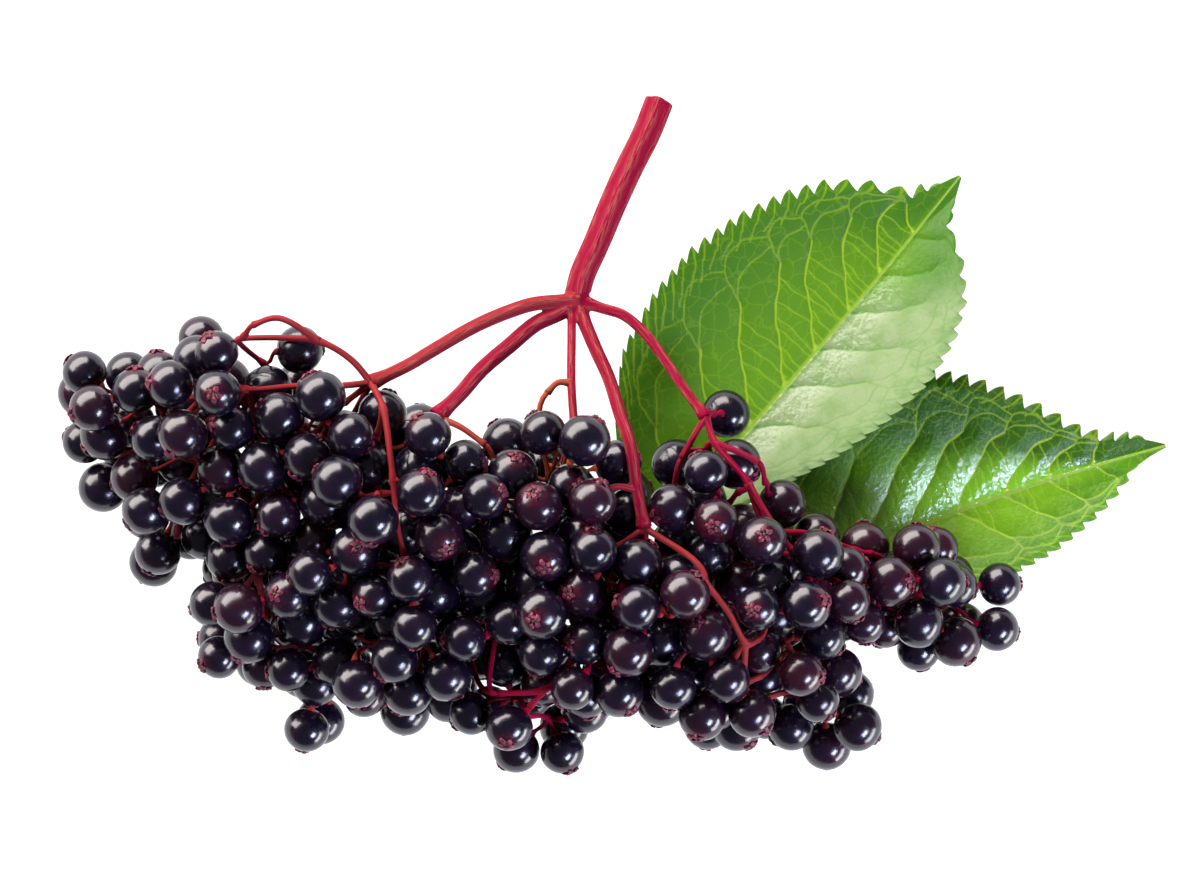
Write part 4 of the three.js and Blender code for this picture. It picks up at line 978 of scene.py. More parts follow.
def nearest(samples, points):
    """For each point, which sample is nearest, and how far it is."""
    tree = mathutils.kdtree.KDTree(len(samples))
    for i, sample in enumerate(samples):
        tree.insert(sample, i)
    tree.balance()
    found = [tree.find(point)[1:] for point in points]
    return np.array([f[0] for f in found]), np.array([f[1] for f in found])


print("voxels across the peduncle:", round(2 * STEMS[0][1][0] / STEM_VOXEL))

# %% Thick stems
STEM_STEP = 0.35  # mm between the rings of the plain tubes
STEM_SIDES = 20
RAY_SWELL, RAY_SWELL_LENGTH = 0.42, 1.6  # a ray thickens where its twigs fork off
WIDEN = {"peduncle": 1.05, "ray_a": 1.1}  # a little stouter than the plain solids
RIBS = {"peduncle": (5, 0.26), "ray_a": (4, 0.12), "ray_b": (4, 0.14), "ray_c": (4, 0.06),
        "ray_d": (4, 0.12), "ray_e": (4, 0.08)}  # how many, and how deep in mm
RIB_TURN = 0.9  # radians by which the pattern of ribs is turned about the stem
RIB_TWIST = 0.012  # radians that the ribs turn in each mm
RIB_FADE = 1.8  # mm over which the ribs fade out towards a fork
RIB_SUNK = 0.4  # share of a rib's depth that is cut in, the rest stands out
PALE_DEPTH = 0.03  # ribs that are less deep than this have no pale crest
STEM_TONES = {"peduncle": 0.15, "ray_a": 0.62, "ray_b": 0.5, "ray_c": 0.55, "ray_d": 0.5,
              "ray_e": 0.1}
STRAND_STRETCH = 0.06


def stem_tubes():
    """The plain tubes, and what the ribs need to know at each sample of their middle lines."""
    plain = Gathered()
    rows = []
    for name, ends, path in STEMS:
        route = smooth_route(path, STEM_STEP)
        far = run_length(route)
        to_end = far[-1] - far
        thickness = np.interp(far, [0, far[-1]], ends) * WIDEN.get(name, 1)
        fade = np.clip(to_end / RIB_FADE, 0, 1)
        if name != "peduncle":
            to_fork = np.minimum(far, to_end)
            thickness = thickness * (1 + swelling(to_fork, 0, RAY_SWELL, RAY_SWELL_LENGTH))
            fade = fade * np.clip(far / RIB_FADE, 0, 1)
        points, faces, _, _ = tube(route, thickness, STEM_SIDES)
        plain.add(points, faces)
        _, side, up = route_axes(route)
        count, depth = RIBS[name]
        rows.append({"middle": route, "side": side, "up": up, "far": far, "depth": fade * depth,
                     "thickness": thickness, "ribs": np.full(len(far), count),
                     "tone": np.full(len(far), STEM_TONES[name])})
    samples = {key: np.concatenate([row[key] for row in rows]) for key in rows[0]}
    return np.concatenate(plain.points), np.concatenate(plain.faces), samples


def stem_frame():
    """The melted skin with its ribs raised."""
    plain_points, plain_faces, samples = stem_tubes()
    points, faces = melted(plain_points, plain_faces)
    which, _ = nearest(samples["middle"], points)
    near = {key: values[which] for key, values in samples.items()}
    offset = points - near["middle"]
    x, y = (offset * near["side"]).sum(1), (offset * near["up"]).sum(1)
    angle = np.arctan2(y, x) + near["far"] * RIB_TWIST + RIB_TURN
    crest = np.cos(angle * near["ribs"] / 2) ** 2
    points = points + unit(offset + TINY) * ((crest - RIB_SUNK) * near["depth"])[:, None]
    turn = np.column_stack([np.cos(angle), np.sin(angle)]) * near["thickness"][:, None]
    strand = np.column_stack([turn, near["far"] * STRAND_STRETCH])
    made = Gathered()
    # the crest value tells the finish where its tan lies: worn skin and a painted highlight on the
    # ridges
    made.add(points, faces, strand=strand, crest=crest * (near["depth"] > PALE_DEPTH),
             tone=near["tone"])
    return made


stem_frame().piece("stems", stem_skin, "stem_skin", ["stem"])

# %% [markdown]
# ## Twigs
# A twig is slim and pliant, and it swells into a small knuckle wherever another one leaves it. A
# bevelled curve could draw it, but it couldn't swell at a chosen place or carry the strands. So it
# is a tube of rings on a smooth route, fluted by fine ribs that turn slowly along it.

# %% Twigs
TWIG_STEP = 0.6
TWIG_SIDES = 10
TWIG_SLIMMING = 0.9
KNUCKLE, KNUCKLE_LENGTH = 0.4, 0.8
FINE_RIBS, FINE_RIB_DEPTH, FINE_RIB_TWIST = 5, 0.09, 0.05
CREST_SHARPNESS, FINE_CREST = 5, 0.6
LETTER_TONES = {"a": 0.64, "b": 0.7, "c": 0.8, "d": 0.6, "e": 0.1, "f": 0.66, "g": 0.3, "h": 0.15}
TWIG_SHIFT, STALK_SHIFT, PEDICEL_SHIFT = 7.0, 5.0, 3.0  # steps between one's strands and the next's


def knuckles(route, far, places):
    """Extra thickness, as a share, near each of the places along a route."""
    extra = np.zeros(len(route))
    for place in places:
        at = far[np.linalg.norm(route - np.array(place), axis=1).argmin()]
        extra = np.maximum(extra, swelling(far, at, KNUCKLE, KNUCKLE_LENGTH))
    return extra


def fine_ribs(turn, far):
    """1 on the crest of a fine rib, and -1 in the groove between two."""
    return np.cos(turn * FINE_RIBS + far * FINE_RIB_TWIST)


def fluted(turn, far):
    return FINE_RIB_DEPTH * fine_ribs(turn, far)


def add_stalk(made, route, thickness, sides, tone, shift):
    """A fluted tube with the values that its finish reads."""
    points, faces, turn, far = tube(route, thickness, sides, fluted)
    middle = thickness.mean()
    strand = np.column_stack([np.cos(turn) * middle + shift, np.sin(turn) * middle,
                              far * STRAND_STRETCH])
    # crest: where the finish lays its tan, worn skin and a painted highlight along the fine ribs
    crest = np.clip(fine_ribs(turn, far), 0, 1) ** CREST_SHARPNESS * FINE_CREST
    made.add(points, faces, strand=strand, crest=crest, tone=tone)


starts = [path[0] for _, path, _ in TWIGS]
twigs = Gathered()
for number, (name, path, _) in enumerate(TWIGS):
    route = smooth_route(path, TWIG_STEP)
    far = run_length(route)
    forks = [start for start in starts if start in path] + [path[0], path[-1]]
    thickness = np.interp(far, [0, far[-1]], TWIG_RADII) * TWIG_SLIMMING
    thickness = thickness * (1 + knuckles(route, far, forks))
    add_stalk(twigs, route, thickness, TWIG_SIDES, LETTER_TONES[name[0]], number * TWIG_SHIFT)
twigs.piece("twigs", stem_skin, "stem_skin", ["stem"])

# %% [markdown]
# ## Stalks and pedicels
# From a twig's end a stalk curves out to each hub, and from the hub thin pedicels curve to the
# berries. A pedicel flares where it meets its berry, and its last direction is the berry's own
# axis, because the calyx sits exactly opposite the stalk. Straight sticks would be simpler, but a
# curve that leaves along the stalk and arrives along the axis is what makes a spray look grown.

# %% Which way each calyx faces
PEDICEL_BEND = 0.32
SHOWN_CALYXES = 0.28  # this share of the calyxes face where their pedicel points
TURN_ASIDE = math.radians(55)  # the others turn this much towards the side
LOWEST_TURN = math.radians(105)
SWAY_ASIDE = 0.3
SAME_PLACE = 1e-6


def turned_aside(axis, sway):
    """The axis tipped away from straight up, or less where it already leans far over."""
    level = unit(axis[:2] + sway[:2] * SWAY_ASIDE)
    polar = math.acos(axis[2])
    tipped = max(polar, min(polar + TURN_ASIDE, LOWEST_TURN))
    return np.array([*(level * math.sin(tipped)), math.cos(tipped)])


random = draws(SEED + 1)
axes = np.zeros_like(centres)
sprays = []  # twig number, hub, the berries that hang from it
for number, (_, _, hubs) in enumerate(TWIGS):
    for x, y, z, _ in hubs:
        hub = np.array([x, y, z], float)
        mine = np.flatnonzero((twig_of == number) & (np.abs(hubs_of - hub).sum(1) < SAME_PLACE))
        sprays.append((number, hub, mine))
        for berry in mine:
            out = unit(centres[berry] - hub)
            sway = np.array([next(random) - 0.5, next(random) - 0.5, next(random) - 0.5])
            axes[berry] = unit(out + (sway - out * (sway @ out)) * PEDICEL_BEND)
            if next(random) > SHOWN_CALYXES:
                axes[berry] = turned_aside(axes[berry], sway)
print("sprays:", len(sprays), "calyxes that face up:", int((axes[:, 2] > 0.5).sum()))

# %% Stalks and pedicels
STALK_RINGS, STALK_SIDES = 12, 8
STALK_EASE = 0.3  # share of its length over which a stalk bends at each end
STALK_AIM, PEDICEL_AIM = 2, 1.5  # how much more one heads for its own end than with its neighbours
HUB_SWELL, HUB_SWELL_LENGTH = 0.62, 0.8
PEDICEL_RINGS, PEDICEL_SIDES = 11, 7
PEDICEL_THICKNESS = (0.34, 0.27)
PEDICEL_EASE = (0.25, 0.2)
FLARE, FLARE_LENGTH = 0.62, 0.55
ROOT_DEPTH = 0.25  # how far a pedicel reaches into its berry


def spray_tube(made, route, ends, last, length, sides, tone, shift):
    """A stalk from one radius to another, which swells to the last radius over a short length."""
    far = run_length(route)
    thickness = np.interp(far, [0, far[-1]], ends) + swelling(far, far[-1], last - ends[1], length)
    add_stalk(made, route, thickness, sides, tone, shift)


def solids_of(letter):
    """The solids that the pieces of one part of the bunch stand for."""
    return [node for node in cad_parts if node.startswith("spray_" + letter)]


letters = np.array([TWIGS[number][0][0] for number in twig_of])
groups = sorted(set(letters))
stalk_meshes = {letter: Gathered() for letter in groups}
for number, hub, mine in sprays:
    name, path, _ = TWIGS[number]
    made = stalk_meshes[name[0]]
    tone = LETTER_TONES[name[0]]
    end = np.array(path[-1], float)
    leaving = unit(end - np.array(path[-2]))
    length = np.linalg.norm(hub - end)
    arriving = unit(unit(hub - end) * STALK_AIM + unit((centres[mine] - hub).mean(0)))
    route = bezier(end, end + leaving * length * STALK_EASE,
                   hub - arriving * length * STALK_EASE, hub, STALK_RINGS)
    spray_tube(made, route, STALK_RADII, HUB_SWELL, HUB_SWELL_LENGTH, STALK_SIDES, tone,
               number * STALK_SHIFT)
    for berry in mine:
        reach = np.linalg.norm(centres[berry] - hub)
        out = (centres[berry] - hub) / reach
        root = centres[berry] - axes[berry] * (radii[berry] - ROOT_DEPTH)
        route = bezier(hub, hub + unit(arriving + out * PEDICEL_AIM) * reach * PEDICEL_EASE[0],
                       root - axes[berry] * reach * PEDICEL_EASE[1], root, PEDICEL_RINGS)
        spray_tube(made, route, PEDICEL_THICKNESS, FLARE, FLARE_LENGTH, PEDICEL_SIDES, tone,
                   berry * PEDICEL_SHIFT)
for letter, made in stalk_meshes.items():
    made.piece("stalks_" + letter, stem_skin, "stem_skin", solids_of(letter))

# %% [markdown]
# ## Berries
# A taut fruit isn't a perfect ball: it is a little flat, dimpled at the stalk, with a low rim round
# the calyx, and uneven in its own way. One berry is worked out as rings on a unit ball. A modifier
# could bend each copy, but a few long waves added in the arrays are quicker. Every berry is a
# turned and scaled copy with waves of its own.

# %% One berry
BERRY_RINGS, BERRY_SIDES = 17, 30
FLATNESS = 0.97
DIMPLE, DIMPLE_WIDTH = 0.05, 0.3
CALYX_RIM, CALYX_RIM_AT, CALYX_RIM_WIDTH = 0.025, 0.26, 0.1


def berry_form():
    """Unit berry with its stalk at the bottom: its points, and their share of the way to the top."""
    polar = np.linspace(0, math.pi, BERRY_RINGS + 2)[1:-1]
    reach = 1 - swelling(polar, 0, DIMPLE, DIMPLE_WIDTH)
    reach = reach + swelling(math.pi - polar, CALYX_RIM_AT, CALYX_RIM, CALYX_RIM_WIDTH)
    turn = round_turn(BERRY_SIDES)
    ring = np.stack([np.cos(turn), np.sin(turn)], 1)
    wide = (np.sin(polar) * reach)[:, None, None] * ring
    high = np.broadcast_to((-np.cos(polar) * reach * FLATNESS)[:, None, None], wide.shape[:2] + (1,))
    points = np.concatenate([wide, high], 2).reshape(-1, 3)
    poles = [(0, 0, -(1 - DIMPLE) * FLATNESS), (0, 0, FLATNESS)]
    share = np.concatenate([np.repeat(polar, BERRY_SIDES), [0, math.pi]]) / math.pi
    return np.concatenate([points, poles]), share


def turned(points, axis, turn):
    """Turns points so that +Z points along axis."""
    side = unit(np.cross(ASIDE, axis))
    up = np.cross(axis, side)
    a = side * math.cos(turn) + up * math.sin(turn)
    b = np.cross(axis, a)
    return points @ np.stack([a, b, axis])


form, form_share = berry_form()
form_faces = pointed_faces(BERRY_RINGS, BERRY_SIDES)
print("one berry:", len(form_faces), "triangles")

# %% [markdown]
# ## Calyxes
# The lips of a dried calyx are broad in the middle, narrow at the tip, and lie on the berry like
# the points of a crown. Each is a short tube of flat rings that follows the skin, and the stub of
# the style is a small blunt cone. They could be sculpted once and copied. Sine waves of short
# length crumple them in the arrays instead, so no two calyxes are the same.

# %% One calyx
LOBES = 5
LOBE_ROWS = [(0.36, 0.22, 0.08), (0.66, 0.46, 0.16), (0.96, 0.38, 0.1), (1.26, 0.12, -0.02)]
LOBE_SIDES = 6
LOBE_THICKNESS = 0.11
STUB_ROWS = [(0.3, -0.05), (0.26, 0.06), (0.12, 0.12)]


def calyx_form(radius):
    """Five lips and a stub, in mm, on the top of a berry of this radius."""
    made = Gathered()
    turn = round_turn(LOBE_SIDES)
    for way in round_turn(LOBES):
        out = np.array([math.cos(way), math.sin(way)])
        aside = np.array([-out[1], out[0]])
        rings = []
        for far, half, lift in LOBE_ROWS:
            base = radius * FLATNESS * math.sqrt(1 - (far / radius) ** 2) + CALYX_RIM * radius
            flat = out * far + aside * (np.cos(turn) * half)[:, None]
            rings.append(np.column_stack([flat, base + lift + np.sin(turn) * LOBE_THICKNESS]))
        made.add(np.concatenate(rings), blunt_faces(len(LOBE_ROWS), LOBE_SIDES), stub=0.0)
    rings = []
    for reach, lift in STUB_ROWS:
        high = np.full(LOBE_SIDES, radius * (FLATNESS + CALYX_RIM) + lift)
        rings.append(np.column_stack([np.cos(turn) * reach, np.sin(turn) * reach, high]))
    made.add(np.concatenate(rings), blunt_faces(len(STUB_ROWS), LOBE_SIDES), stub=1.0)
    return (np.concatenate(made.points), np.concatenate(made.faces),
            np.concatenate(made.values["stub"]))


print("one calyx:", len(calyx_form(BERRY_RADIUS)[1]), "triangles")

# %% All the berries and calyxes
UNEVEN = 0.008  # share of its radius by which a berry is uneven
UNEVEN_WAVES = (3.1, 4.3)  # waves over a unit berry
TONE_RANGE = 0.8
REDDER = {"e": 0.2, "f": 0.25}  # sprays whose juice is a little less dark
LOBE_CRUMBLE = 0.16  # mm that a lip's points are moved at most
CRUMBLE_WAVES, CRUMBLE_SHIFT = (17.3, 11.7), 5

random = draws(SEED + 2)
berry_meshes = {letter: Gathered() for letter in groups}
calyx_meshes = {letter: Gathered() for letter in groups}
for letter, centre, radius, axis in zip(letters, centres, radii, axes):
    phase = np.array([next(random) for _ in range(6)]) * 2 * math.pi
    turn = next(random) * 2 * math.pi
    tone = next(random) * TONE_RANGE + REDDER.get(letter, 0)
    waves = np.sin(form * UNEVEN_WAVES[0] + phase[:3])
    waves += np.sin(form[:, [1, 2, 0]] * UNEVEN_WAVES[1] + phase[3:])
    own = form * (1 + UNEVEN * waves.sum(1) / 2)[:, None]
    berry_meshes[letter].add(centre + turned(own * radius, axis, turn), form_faces,
                             polar=form_share, tone=tone)
    points, faces, stub = calyx_form(radius)
    crumble = np.sin(points * CRUMBLE_WAVES[0] + phase[:3] * CRUMBLE_SHIFT)
    crumble = crumble * np.sin(points[:, [1, 2, 0]] * CRUMBLE_WAVES[1] + phase[3:])
    points = points + crumble * LOBE_CRUMBLE
    calyx_meshes[letter].add(centre + turned(points, axis, turn), faces, stub=stub)
for letter in groups:
    berry_meshes[letter].piece("berries_" + letter, berry_skin, "berry_skin", solids_of(letter))
    calyx_meshes[letter].piece("calyxes_" + letter, calyx_skin, "berry_skin", solids_of(letter))

# %% [markdown]
# ## Veins of a leaflet
# Side veins leave the midrib at about fifty degrees, fork, and meet in arches. A vein runs into
# each tooth, and thin rungs join the side veins. They could be drawn as curves by hand, but a few
# rules give all sixteen and their rungs. The lines are worked out as shares of the length and of
# the half width, so they fit the blade whatever its outline.

# %% Side veins and arches
SIDE_VEINS = 8
FIRST_VEIN, LAST_VEIN = 0.07, 0.84  # shares of the length
VEIN_CROWDING = 0.95  # below 1, the gaps shrink towards the tip
VEIN_JITTER, ANGLE_JITTER = 0.012, 6
VEIN_ANGLE = 50  # degrees between a side vein and the rib
WIDTH_AHEAD, WIDTH_UP_TO = 0.05, 0.9  # where the half width that a vein crosses is read
VEIN_SLOPE, VEIN_CURVE = 0.92, 0.35
FORK_AT, ARCH_AT = 0.58, 0.78  # shares of the half width
ARCH_SLOPE = 0.5
ARCH_LINKS = ((0, 24, 0.06), (-1, -1, 0.1))  # from this point to the next arch's, and the bulge
ARCH_BEND = 0.7
ALONG_LINE = np.linspace(0, 1, 40)


def side_veins(leaf, side, random):
    """The side veins of one half, and the arch that leaves each one where it forks."""
    begin = (np.arange(SIDE_VEINS) / (SIDE_VEINS - 1)) ** VEIN_CROWDING
    forks, arches = [], []
    for share in FIRST_VEIN + (LAST_VEIN - FIRST_VEIN) * begin:
        share = share + (next(random) - 0.5) * VEIN_JITTER
        width = half_width(leaf, side, min(share + WIDTH_AHEAD, WIDTH_UP_TO))
        angle = math.radians(VEIN_ANGLE + ANGLE_JITTER * (next(random) - 0.5))
        run = width / leaf_axes(leaf)[2] / math.tan(angle)
        across = ALONG_LINE * FORK_AT
        curve = share + run * (across * VEIN_SLOPE + VEIN_CURVE * across ** 2)
        forks.append(np.stack([curve, across], 1))
        up = ALONG_LINE * (ARCH_AT - FORK_AT)
        fork = forks[-1][-1]
        arches.append(np.stack([fork[0] + run * up * ARCH_SLOPE, fork[1] + up], 1))
    return forks, arches


def linked(arches):
    """Bulging lines from each arch to the next."""
    lines = []
    for here, there in zip(arches, arches[1:]):
        for first, last, bulge in ARCH_LINKS:
            start, end = here[first], there[last]
            across = start[1] + (end[1] - start[1]) * ALONG_LINE ** ARCH_BEND
            across = across + bulge * np.sin(math.pi * ALONG_LINE)
            lines.append(np.stack([start[0] + (end[0] - start[0]) * ALONG_LINE, across], 1))
    return lines


print("side veins:", len(side_veins(LEAVES["leaf_1"], 1, draws(SEED))[0]), "in each half")

# %% Tooth veins and rungs
TOOTH_VEIN_BACK = 0.22  # how far back a tooth's vein starts, as a share of the half width
TOOTH_VEIN_FROM, TOOTH_VEIN_RANGE = 0.83, 0.03
TOOTH_VEIN_BEND = 1.3
RUNG_GAP = 3.0
RUNG_JITTER, RUNG_SLANT, RUNG_WAVE = 0.08, 0.02, 0.02
RUNG_SHIFT = 6  # radians by which a rung's wave is shifted at most


def tooth_veins(leaf, side, random):
    """A short vein into each tooth."""
    lines = []
    for tooth in range(TEETH):
        peak = (tooth + TOOTH_LEAN) / TEETH
        width = half_width(leaf, side, peak)
        if width >= TOOTHLESS_WIDTH * 2:
            back = TOOTH_VEIN_BACK * width / leaf_axes(leaf)[2]
            inner = TOOTH_VEIN_FROM + TOOTH_VEIN_RANGE * next(random)
            lines.append(np.stack([peak - back * (1 - ALONG_LINE) ** TOOTH_VEIN_BEND,
                                   inner + (1 - inner) * ALONG_LINE], 1))
    return lines


def rungs_between(leaf, side, forks, random):
    """Wavy rungs that leave each side vein at right angles to the rib and end on the next one."""
    lines = []
    for here, there in zip(forks, forks[1:]):
        rungs = max(2, round(half_width(leaf, side, here[0, 0]) / RUNG_GAP))
        for rung in range(1, rungs):
            at = rung / rungs + (next(random) - 0.5) * RUNG_JITTER
            start = here[int(np.clip(at, 0, 1) * (len(here) - 1))]
            level = start[0] + (next(random) - 0.5) * RUNG_SLANT
            end = (level, 0)
            if level > there[0, 0]:
                end = there[np.abs(there[:, 0] - level).argmin()]
            wave = RUNG_WAVE * np.sin(ALONG_LINE * math.pi * 2 + next(random) * RUNG_SHIFT)
            lines.append(np.stack([start[0] + (end[0] - start[0]) * ALONG_LINE,
                                   start[1] + (end[1] - start[1]) * ALONG_LINE + wave], 1))
    return lines


def vein_lines(leaf, side, random):
    """Main and fine vein lines of one half, as lists of (share, across) points."""
    forks, arches = side_veins(leaf, side, random)
    fine = arches + linked(arches) + tooth_veins(leaf, side, random)
    return forks, fine + rungs_between(leaf, side, forks, random)


print("fine veins:", len(vein_lines(LEAVES["leaf_1"], 1, draws(SEED))[1]), "in a left half")

# %% How far a point is from a vein
VEIN_STEP = 0.07
VEIN_WANDER = 0.16
CALM_WIDTH = 2  # mm from the rib within which the veins wander less
LONG_WAVES, LONG_SHIFTS = (0.8, 0.9), (1, 2)  # radians in a mm, and radians
SHORT_WAVES, SHORT_SHARE = ((1.9, 0.7), (1.7, -0.9)), 0.6


def blade_place(leaf, side, share, across):
    """Flat place, in mm: along the rib, and across from it with a sign."""
    length = leaf_axes(leaf)[2]
    return np.stack([share * length, side * across * half_width(leaf, side, share)], -1)


def sampled(leaf, side, lines):
    """The lines as flat points in mm, close together."""
    parts = []
    for line in lines:
        flat = blade_place(leaf, side, np.clip(line[:, 0], 0, 1), np.clip(line[:, 1], 0, 1))
        far = run_length(flat)
        at = np.arange(0, far[-1], VEIN_STEP)
        parts.append(np.stack([np.interp(at, far, flat[:, 0]), np.interp(at, far, flat[:, 1])], 1))
    return np.concatenate(parts)


def wandered(flat):
    """Places moved a little, smoothly, so that veins wander as grown ones do."""
    x, y = flat[:, 0], flat[:, 1]
    calm = VEIN_WANDER * np.clip(np.abs(y) / CALM_WIDTH, 0, 1)
    moved = []
    for main, other, wave, shift, (a, b) in zip((y, x), (x, y), LONG_WAVES, LONG_SHIFTS, SHORT_WAVES):
        moved.append(np.sin(main * wave + shift) + SHORT_SHARE * np.sin(main * a + other * b))
    return np.stack([x + calm * moved[0], y + calm * moved[1]], 1)


def distance_to(samples, flat):
    """How far each place is from the nearest sample of a line."""
    level = [np.column_stack([places, np.zeros(len(places))]) for places in (samples, wandered(flat))]
    return nearest(*level)[1]


print("a vein wanders by up to", round(VEIN_WANDER * (1 + SHORT_SHARE), 2), "mm")

# %% [markdown]
# ## Blades
# The blade is a thin sheet with small teeth that hook towards the tip. Its upper face swells
# between the veins like a quilt, with a ridge over the rib, and its lower face has the rib's keel.
# Displacement by a texture would give the quilt too, but then the relief and the painted veins
# could drift apart. Here both come from the same distances, on a grid of points that is fine
# enough to hold them.

# %% Edge and teeth
NOTCH_DEPTH = 0.5  # mm that the notch between two teeth cuts into the plain outline
TOOTH_SIZE = {("leaf_1", 1): 0.95, ("leaf_1", -1): 0.45, ("leaf_2", 1): 1.0, ("leaf_2", -1): 0.5}
HOOK = 0.95  # how far a tooth leans towards the tip, as a share of its depth
TOOTH_BAND = 0.14  # share of the half width over which a tooth grows out of the blade
TOOTH_GROWTH = 1.5  # mm of half width over which the teeth get their whole size
TOOTH_BACK, TOOTH_FRONT, TOOTH_FADE = 0.8, 1.5, 1.5  # how the sides of a tooth curve


def tooth_reach(share):
    """How far the edge stands out at shares of the length: a round back, and quick in again."""
    phase = (share * TEETH) % 1
    rising = np.sin(phase / TOOTH_LEAN * math.pi / 2) ** TOOTH_BACK
    falling = ((1 - phase) / (1 - TOOTH_LEAN)) ** TOOTH_FRONT
    tooth = np.where(phase < TOOTH_LEAN, rising, falling)
    return (TOOTH_DEPTH + NOTCH_DEPTH) * tooth - NOTCH_DEPTH


def blade_points(name, side, share, across):
    """Middle surface of the toothed blade."""
    leaf = LEAVES[name]
    base, along, length, left = leaf_axes(leaf)
    width = half_width(leaf, side, share)
    fade = np.clip((across - 1 + TOOTH_BAND) / TOOTH_BAND, 0, 1) ** TOOTH_FADE
    grown = np.clip((width - TOOTHLESS_WIDTH) / TOOTH_GROWTH, 0, 1)
    tooth = tooth_reach(share) * fade * grown * TOOTH_SIZE[name, side]
    reach = bowed(leaf, share) + side * (width * across + tooth)
    forward = share * length + tooth * HOOK
    flat = base + along * forward[:, None] + left * reach[:, None]
    return np.column_stack([flat, blade_height(leaf, side, share, across)])


print("teeth:", TEETH, "on each side, up to", TOOTH_DEPTH, "mm deep")

# %% Where the colours and the wax lie
WAX_REACH, WAX_TAPER = 0.68, 0.45  # share of the half width under wax, and how it narrows
WAX_SIDE_FADE, WAX_END_FADE = 0.2, 0.1
WAX_END = {"leaf_1": 0.8, "leaf_2": 0.93}  # share of the length
WAX_SHARES = {"leaf_1": (0, 0.4), "leaf_2": (1, 0.04)}  # left half, right half
# where the painted sheen of the upper leaflet's right half ends, towards the tip
PAINTED_SHEEN_END, PAINTED_SHEEN_END_SLANT, PAINTED_SHEEN_END_FADE = 0.72, 0.16, 0.1
DEEP_FROM, DEEP_TIPWARDS = 0.35, 3  # the lower leaflet's left half
TIP_FROM, TIP_DEEPER = 0.68, 2.5


def wax_cover(name, share, across):
    """How much clear wax covers the blade. The lower leaflet's left half looks wet by the rib."""
    near_rib = np.clip((WAX_REACH - WAX_TAPER * share - np.abs(across)) / WAX_SIDE_FADE, 0, 1)
    left, right = WAX_SHARES[name]
    ends = np.clip((WAX_END[name] - share) / WAX_END_FADE, 0, 1)
    return near_rib * np.where(across > 0, left, right) * ends


def right_green_and_sheen(name, share, across):
    """Where the right half's green holds. On the upper leaflet it is a pale painted sheen, and it
    takes the left one's green by its tip.
    """
    ends = (PAINTED_SHEEN_END + PAINTED_SHEEN_END_SLANT * np.abs(across) - share) / PAINTED_SHEEN_END_FADE
    return np.clip(ends if name == "leaf_1" else 1, 0, 1) * (across <= 0)


def outwards(name, share, across):
    """How deep the green is: it deepens to the edge, and in one half to the tip as well."""
    tipwards = DEEP_TIPWARDS * np.clip(share - DEEP_FROM, 0, 1) * (across > 0) * (name == "leaf_2")
    by_tip = TIP_DEEPER * np.clip(share - TIP_FROM, 0, 1)
    return np.clip(np.abs(across) * (1 + tipwards) + by_tip, 0, 1)


print("wax beside the lower rib:", wax_cover("leaf_2", 0.3, np.array([0.2, -0.2])))

# %% Quilt, ridge and shoulder of the upper face
PILLOW_HEIGHT = {"leaf_1": 0.3, "leaf_2": 0.62}
PILLOW_WIDTH = {"leaf_1": 1.2, "leaf_2": 2.2}
SHOULDER = {("leaf_2", 1): 0.75}  # extra height beside the rib of one half
SHOULDER_WIDTH, SHOULDER_END = 5.0, 0.2
FINE_HEIGHT, FINE_WIDTH = 0.07, 0.4
FLAT_RIM = 0.08  # share of the half width over which the quilt flattens out by the edge
RIB_RIDGE, RIB_RIDGE_WIDTH = 0.22, 0.5
RIDGE_FROM = 0.03  # share of the length


def quilt(name, share, across, from_rib, main, fine):
    """How far the upper face swells above the blade's skin."""
    swell = PILLOW_HEIGHT[name] * (1 - np.exp(-main / PILLOW_WIDTH[name]))
    swell += FINE_HEIGHT * (1 - np.exp(-fine / FINE_WIDTH))
    swell *= np.clip((1 - np.abs(across)) / FLAT_RIM, 0, 1)
    swell += swelling(from_rib, 0, RIB_RIDGE, RIB_RIDGE_WIDTH) * (share > RIDGE_FROM)
    for side in (1, -1):
        shoulder = SHOULDER.get((name, side), 0) * (across * side > 0)
        shoulder = shoulder * np.clip((1 - share) / SHOULDER_END, 0, 1)
        swell += shoulder * (1 - swelling(from_rib, 0, 1, SHOULDER_WIDTH))
    return swell


print("pillows between the veins:", PILLOW_HEIGHT, "mm high")

# %% Blades
ROWS_A_TOOTH = 12
COLUMNS, UNDER_COLUMNS = 78, 8  # on each side of the rib, of the upper and of the lower face
SKIN_THICKNESS = 0.26
RIB_KEEL, RIB_KEEL_WIDTH = 0.7, 0.9
MAIN_WIDTH, FINE_VEIN_WIDTH, RIB_WIDTH = 0.08, 0.04, 0.34  # half widths of the veins, in mm
VEIN_TAPER, RIB_TAPER = 1.2, 1.35  # what a width is multiplied by at the base, and 1 less at the tip
RIB_REACH = 0.8  # mm from the rib within which a main line is the rib's
HEM_INSET = 0.08  # mm by which the pale hem of the edge is thinner than a vein
NO_VEIN = 9.0  # mm to the nearest vein on the lower face, where none is drawn
LEAF_SEED = SEED + 10


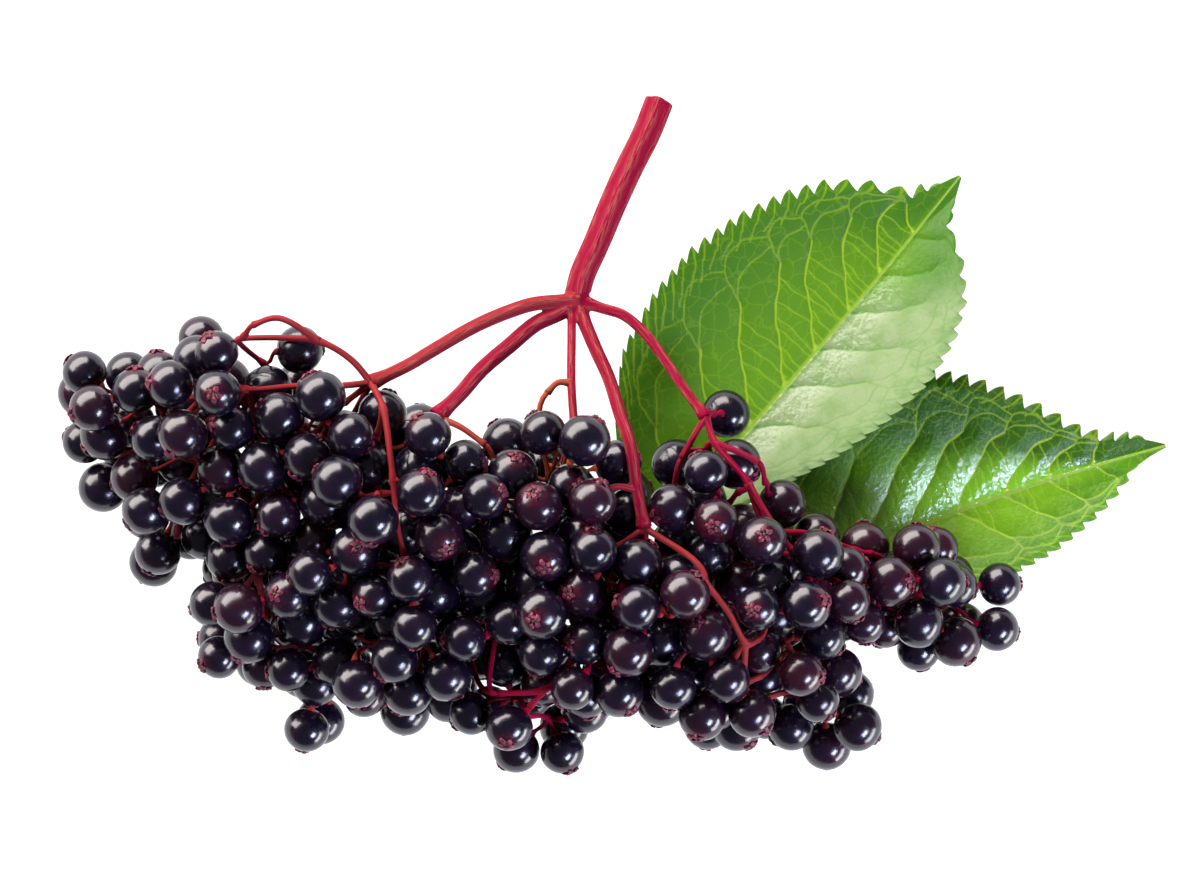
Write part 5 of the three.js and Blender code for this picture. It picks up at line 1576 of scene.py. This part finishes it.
def blade_face(name, veins, count, upper):
    """One face of a blade: its points, triangles and values."""
    leaf = LEAVES[name]
    rows = TEETH * ROWS_A_TOOTH + 1
    columns = np.concatenate([-np.linspace(1, 0, count + 1), np.linspace(0, 1, count + 1)[1:]])
    share, across = np.repeat(np.linspace(0, 1, rows), len(columns)), np.tile(columns, rows)
    points, flat = np.zeros((len(share), 3)), np.zeros((len(share), 2))
    main, fine = np.full(len(share), NO_VEIN), np.full(len(share), NO_VEIN)
    for side in (1, -1):
        chosen = (across > 0) if side > 0 else (across <= 0)
        s, a = share[chosen], np.abs(across[chosen])
        points[chosen] = blade_points(name, side, s, a)
        flat[chosen] = blade_place(leaf, side, s, a)
        if upper:
            main_lines, fine_lines = veins[side]
            main[chosen] = distance_to(sampled(leaf, side, main_lines), flat[chosen])
            fine[chosen] = distance_to(sampled(leaf, side, fine_lines), flat[chosen])
    from_rib = np.abs(flat[:, 1])
    if upper:
        main = np.minimum(main, from_rib)
        hem = (1 - np.abs(across)) * half_width(leaf, 1, share) + HEM_INSET
        fine = np.minimum(np.minimum(fine, main), hem)
        points[:, 2] += SKIN_THICKNESS / 2 + quilt(name, share, across, from_rib, main, fine)
    else:
        room = np.maximum(points[:, 2] - BLADE_THICKNESS / 2, 0)
        keel = np.minimum(swelling(from_rib, 0, RIB_KEEL, RIB_KEEL_WIDTH), room)
        points[:, 2] -= SKIN_THICKNESS / 2 + keel
    faces = grid_faces(rows, len(columns), False)
    return points, faces[:, ::-1] if upper else faces, {
        "main": main, "fine": fine, "outwards": outwards(name, share, across),
        "right_half": (across <= 0).astype(float), "right_green_and_sheen": right_green_and_sheen(name, share, across),
        "wax": wax_cover(name, share, across),
        "rib": np.exp(-(from_rib / (RIB_WIDTH * (RIB_TAPER - share))) ** 4),
        "main_width": np.where(from_rib < RIB_REACH, RIB_WIDTH, MAIN_WIDTH) * (VEIN_TAPER - share),
        "fine_width": FINE_VEIN_WIDTH}


for number, (name, leaf) in enumerate(LEAVES.items()):
    random = draws(LEAF_SEED + number)
    veins = {side: vein_lines(leaf, side, random) for side in (1, -1)}
    blade = Gathered()
    for count, upper in ((COLUMNS, True), (UNDER_COLUMNS, False)):
        points, faces, values = blade_face(name, veins, count, upper)
        blade.add(points, faces, **values)
    blade.piece("blade_" + name[-1], leaf_skins[name], "leaf_blade", [name])

# %% [markdown]
# ## Sizes
# The dressed bunch must fill the same box as its solids.
